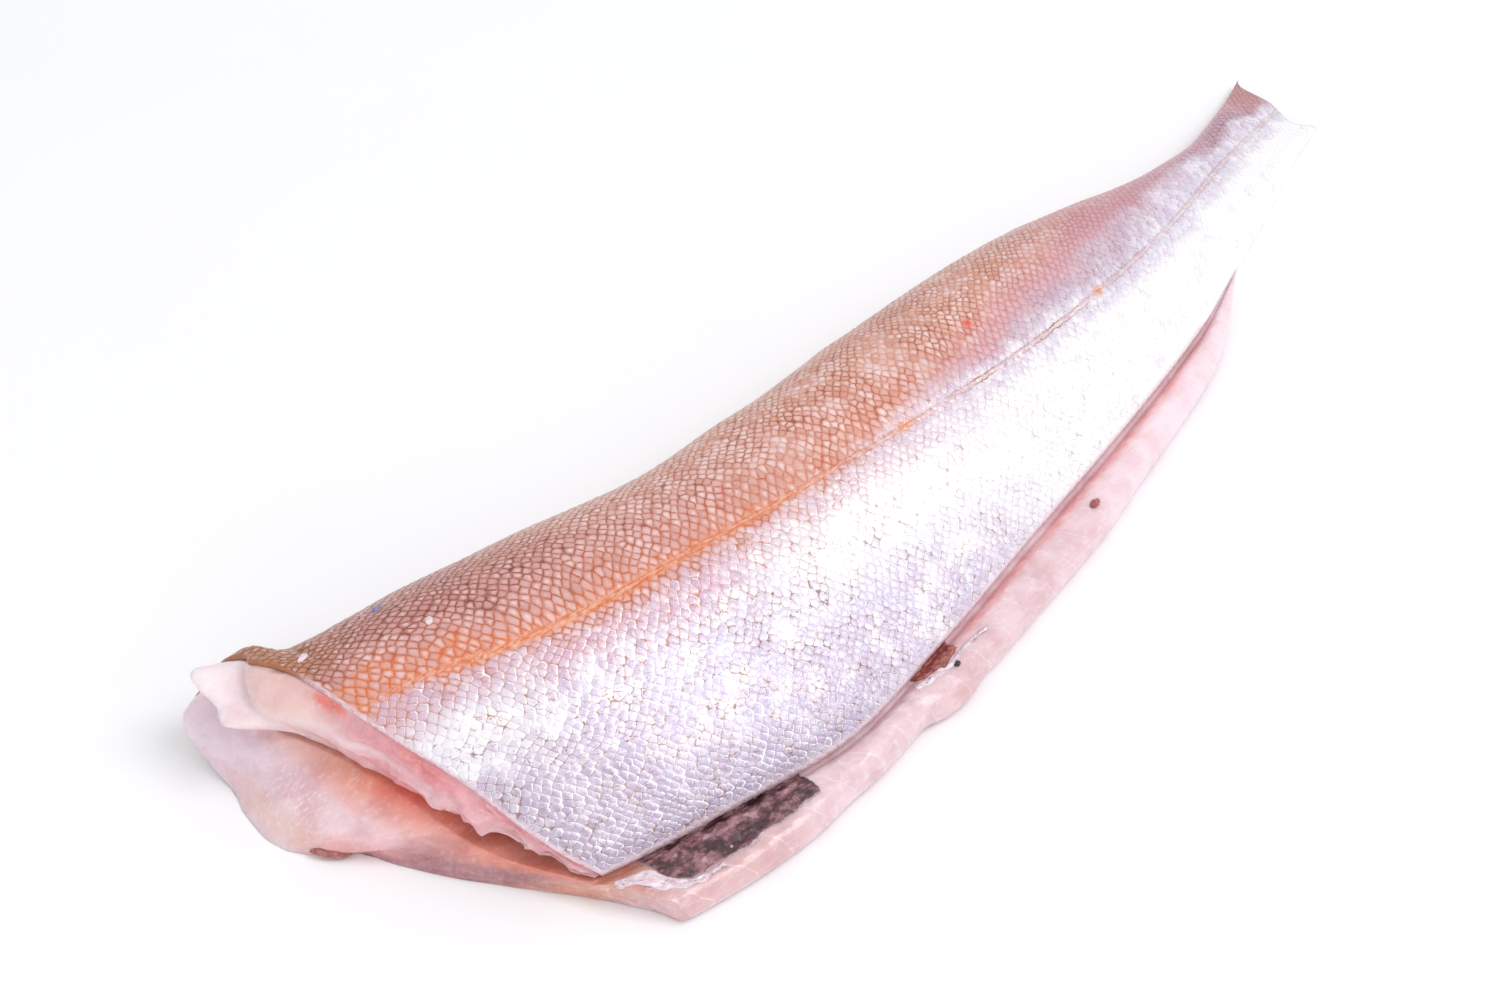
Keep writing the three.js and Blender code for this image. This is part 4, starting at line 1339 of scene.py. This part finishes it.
# Thin patches on the bare strip: where they start and end, their edges over x near the upper fillet and far
# from it, thickness, depth of the wrinkles, steps along and across, seed and material.
PATCHES = {
    "lining": (
        (-96.4, -64.6), belly_shadow_y,
        curve([
            (-96.4, -36.5), (-95.6, -40.6), (-93.3, -42.6), (-86.7, -43.2), (-81, -43.6), (-71.3, -43.4),
            (-65.6, -43.4), (-64.4, -41),
        ]),
        0.4, 0.34, (128, 44), 81, lining,
    ),
    "clot": (
        (-36.6, -25.8), belly_shadow_y,
        curve([(-37, -34.2), (-34, -36), (-29.5, -36.2), (-25.5, -34.6)]),
        0.35, 0.22, (44, 20), 83, clot,
    ),
    "clot_film": (
        (-37.6, -18.6),
        curve([(-38, -36.2), (-34, -36.3), (-29.5, -36.5), (-25, -35.1), (-18, -34.4)]),
        curve([(-38, -36.9), (-34, -37.5), (-29.5, -37.5), (-25, -35.8), (-18, -34.8)]),
        0.45, 0.25, (72, 12), 85, film,
    ),
    "lining_film": (
        (-102.6, -86.4),
        curve([(-104, -34.8), (-99.5, -35.6), (-97, -36.4), (-94.5, -41.8), (-91, -43.3), (-86, -43.6)]),
        curve([(-104, -35.6), (-100, -38.4), (-97, -41.6), (-94.5, -43.4), (-91, -44.1), (-86, -44)]),
        0.35, 0.25, (72, 24), 87, film,
    ),
}


def on_strip(x, y, lift):
    return (x, y, float(strip_height(x, y)) + lift)


def on_skin(x, y, lift):
    """A place on the upper fillet's skin at x and y."""
    share = np.linspace(1, 0, 400)
    ring = skin_point(np.full_like(share, x), share)
    return (x, y, float(np.interp(y, ring[:, 1], ring[:, 2])) + lift)


# Small closed lumps: place, half sizes, turn in radians, seed, material, steps round and how dented.
LUMPS = {
    "black_speck": (on_strip(-28.6, -37.4, 0.35), (0.6, 0.5, 0.45), 0.5, 91, black, 28, 0.28),
    "strip_clot": (on_strip(17.4, -25.4, 0.2), (1.3, 0.8, 0.45), 0.3, 93, clot, 28, 0.28),
    "torn_tissue": ((-129.5, 3.5, 1.2), (3.6, 1.3, 1.1), -0.8, 95, tissue, 28, 0.1),
    "white_fleck_1": (on_skin(-117.6, 24.4, 0.1), (1.3, 0.6, 0.45), 0.4, 97, film, 14, 0.28),
    "white_fleck_2": (on_skin(-100.2, 12.8, 0.1), (0.9, 0.7, 0.4), 0.9, 98, film, 14, 0.28),
    "blue_dot": (on_skin(-103.4, 23.1, 0.05), (0.9, 0.6, 0.35), 0.2, 99, blue_grey, 14, 0.28),
}

small_pieces = [build_patch(name, *how) for name, how in PATCHES.items()]
small_pieces += [build_lump(name, *how) for name, how in LUMPS.items()]
for piece in (skin, flesh, *small_pieces):
    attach(piece, "root")
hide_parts("fillet")
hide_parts("fillet")

# ---- floor, light and camera ----------------------------------------------------------------------------

FLOOR_HALF = 3.0  # in metres
floor_mesh = bpy.data.meshes.new("floor")
corners = [(FLOOR_HALF * right, FLOOR_HALF * up, 0) for right, up in ((-1, -1), (1, -1), (1, 1), (-1, 1))]
floor_mesh.from_pydata(corners, [], [(0, 1, 2, 3)])
floor_paint = Paint("pale_floor")
floor_colour = floor_paint.blend((252, 252, 253), (249, 249, 251), floor_paint.noise(40, 2))
floor_mesh.materials.append(
    floor_paint.shade(Base_Color=floor_colour, Roughness=0.9, Specular_IOR_Level=0.1)
)
floor = add_object("floor", floor_mesh)

STUDIO_COLOUR, STUDIO_STRENGTH = (0.97, 0.98, 1.0, 1.0), 0.79
world = bpy.data.worlds.new("studio")
world.use_nodes = True
background = world.node_tree.nodes["Background"].inputs
background["Color"].default_value = STUDIO_COLOUR
background["Strength"].default_value = STUDIO_STRENGTH
bpy.context.scene.world = world

# Square lamps that are turned to the origin: name, place and size in metres, and watts.
LAMPS = [
    ("key", (0.25, -0.45, 0.9), 0.5, 3.6),
    ("fill", (-0.9, -0.5, 0.5), 0.8, 1.6),
]
for name, place, size, power in LAMPS:
    lamp = bpy.data.lights.new(name, "AREA")
    lamp.size = size
    lamp.energy = power
    made = add_object(name, lamp)
    made.location = place
    made.rotation_euler = Vector(place).to_track_quat("Z", "Y").to_euler()

CAMERA_AZIMUTH, CAMERA_ELEVATION = math.radians(-42), math.radians(43)
CAMERA_DISTANCE = 600
CAMERA_TARGET = np.array([-23, 21, 0])
CAMERA_SENSOR, CAMERA_LENS = 36, 80  # width and focal length in mm
CAMERA_CLIP = (0.01, 20)  # in metres
level = math.cos(CAMERA_ELEVATION)
to_camera = np.array([
    math.sin(CAMERA_AZIMUTH) * level, -math.cos(CAMERA_AZIMUTH) * level, math.sin(CAMERA_ELEVATION),
])
camera_data = bpy.data.cameras.new("camera")
camera_data.sensor_width = CAMERA_SENSOR
camera_data.lens = CAMERA_LENS
camera_data.clip_start, camera_data.clip_end = CAMERA_CLIP
camera = add_object("camera", camera_data)
camera.location = Vector(((CAMERA_TARGET + SEATING + to_camera * CAMERA_DISTANCE) * MM).tolist())
camera.rotation_euler = Vector(to_camera.tolist()).to_track_quat("Z", "Y").to_euler()
bpy.context.scene.camera = camera
bpy.context.scene.view_settings.view_transform = "Standard"
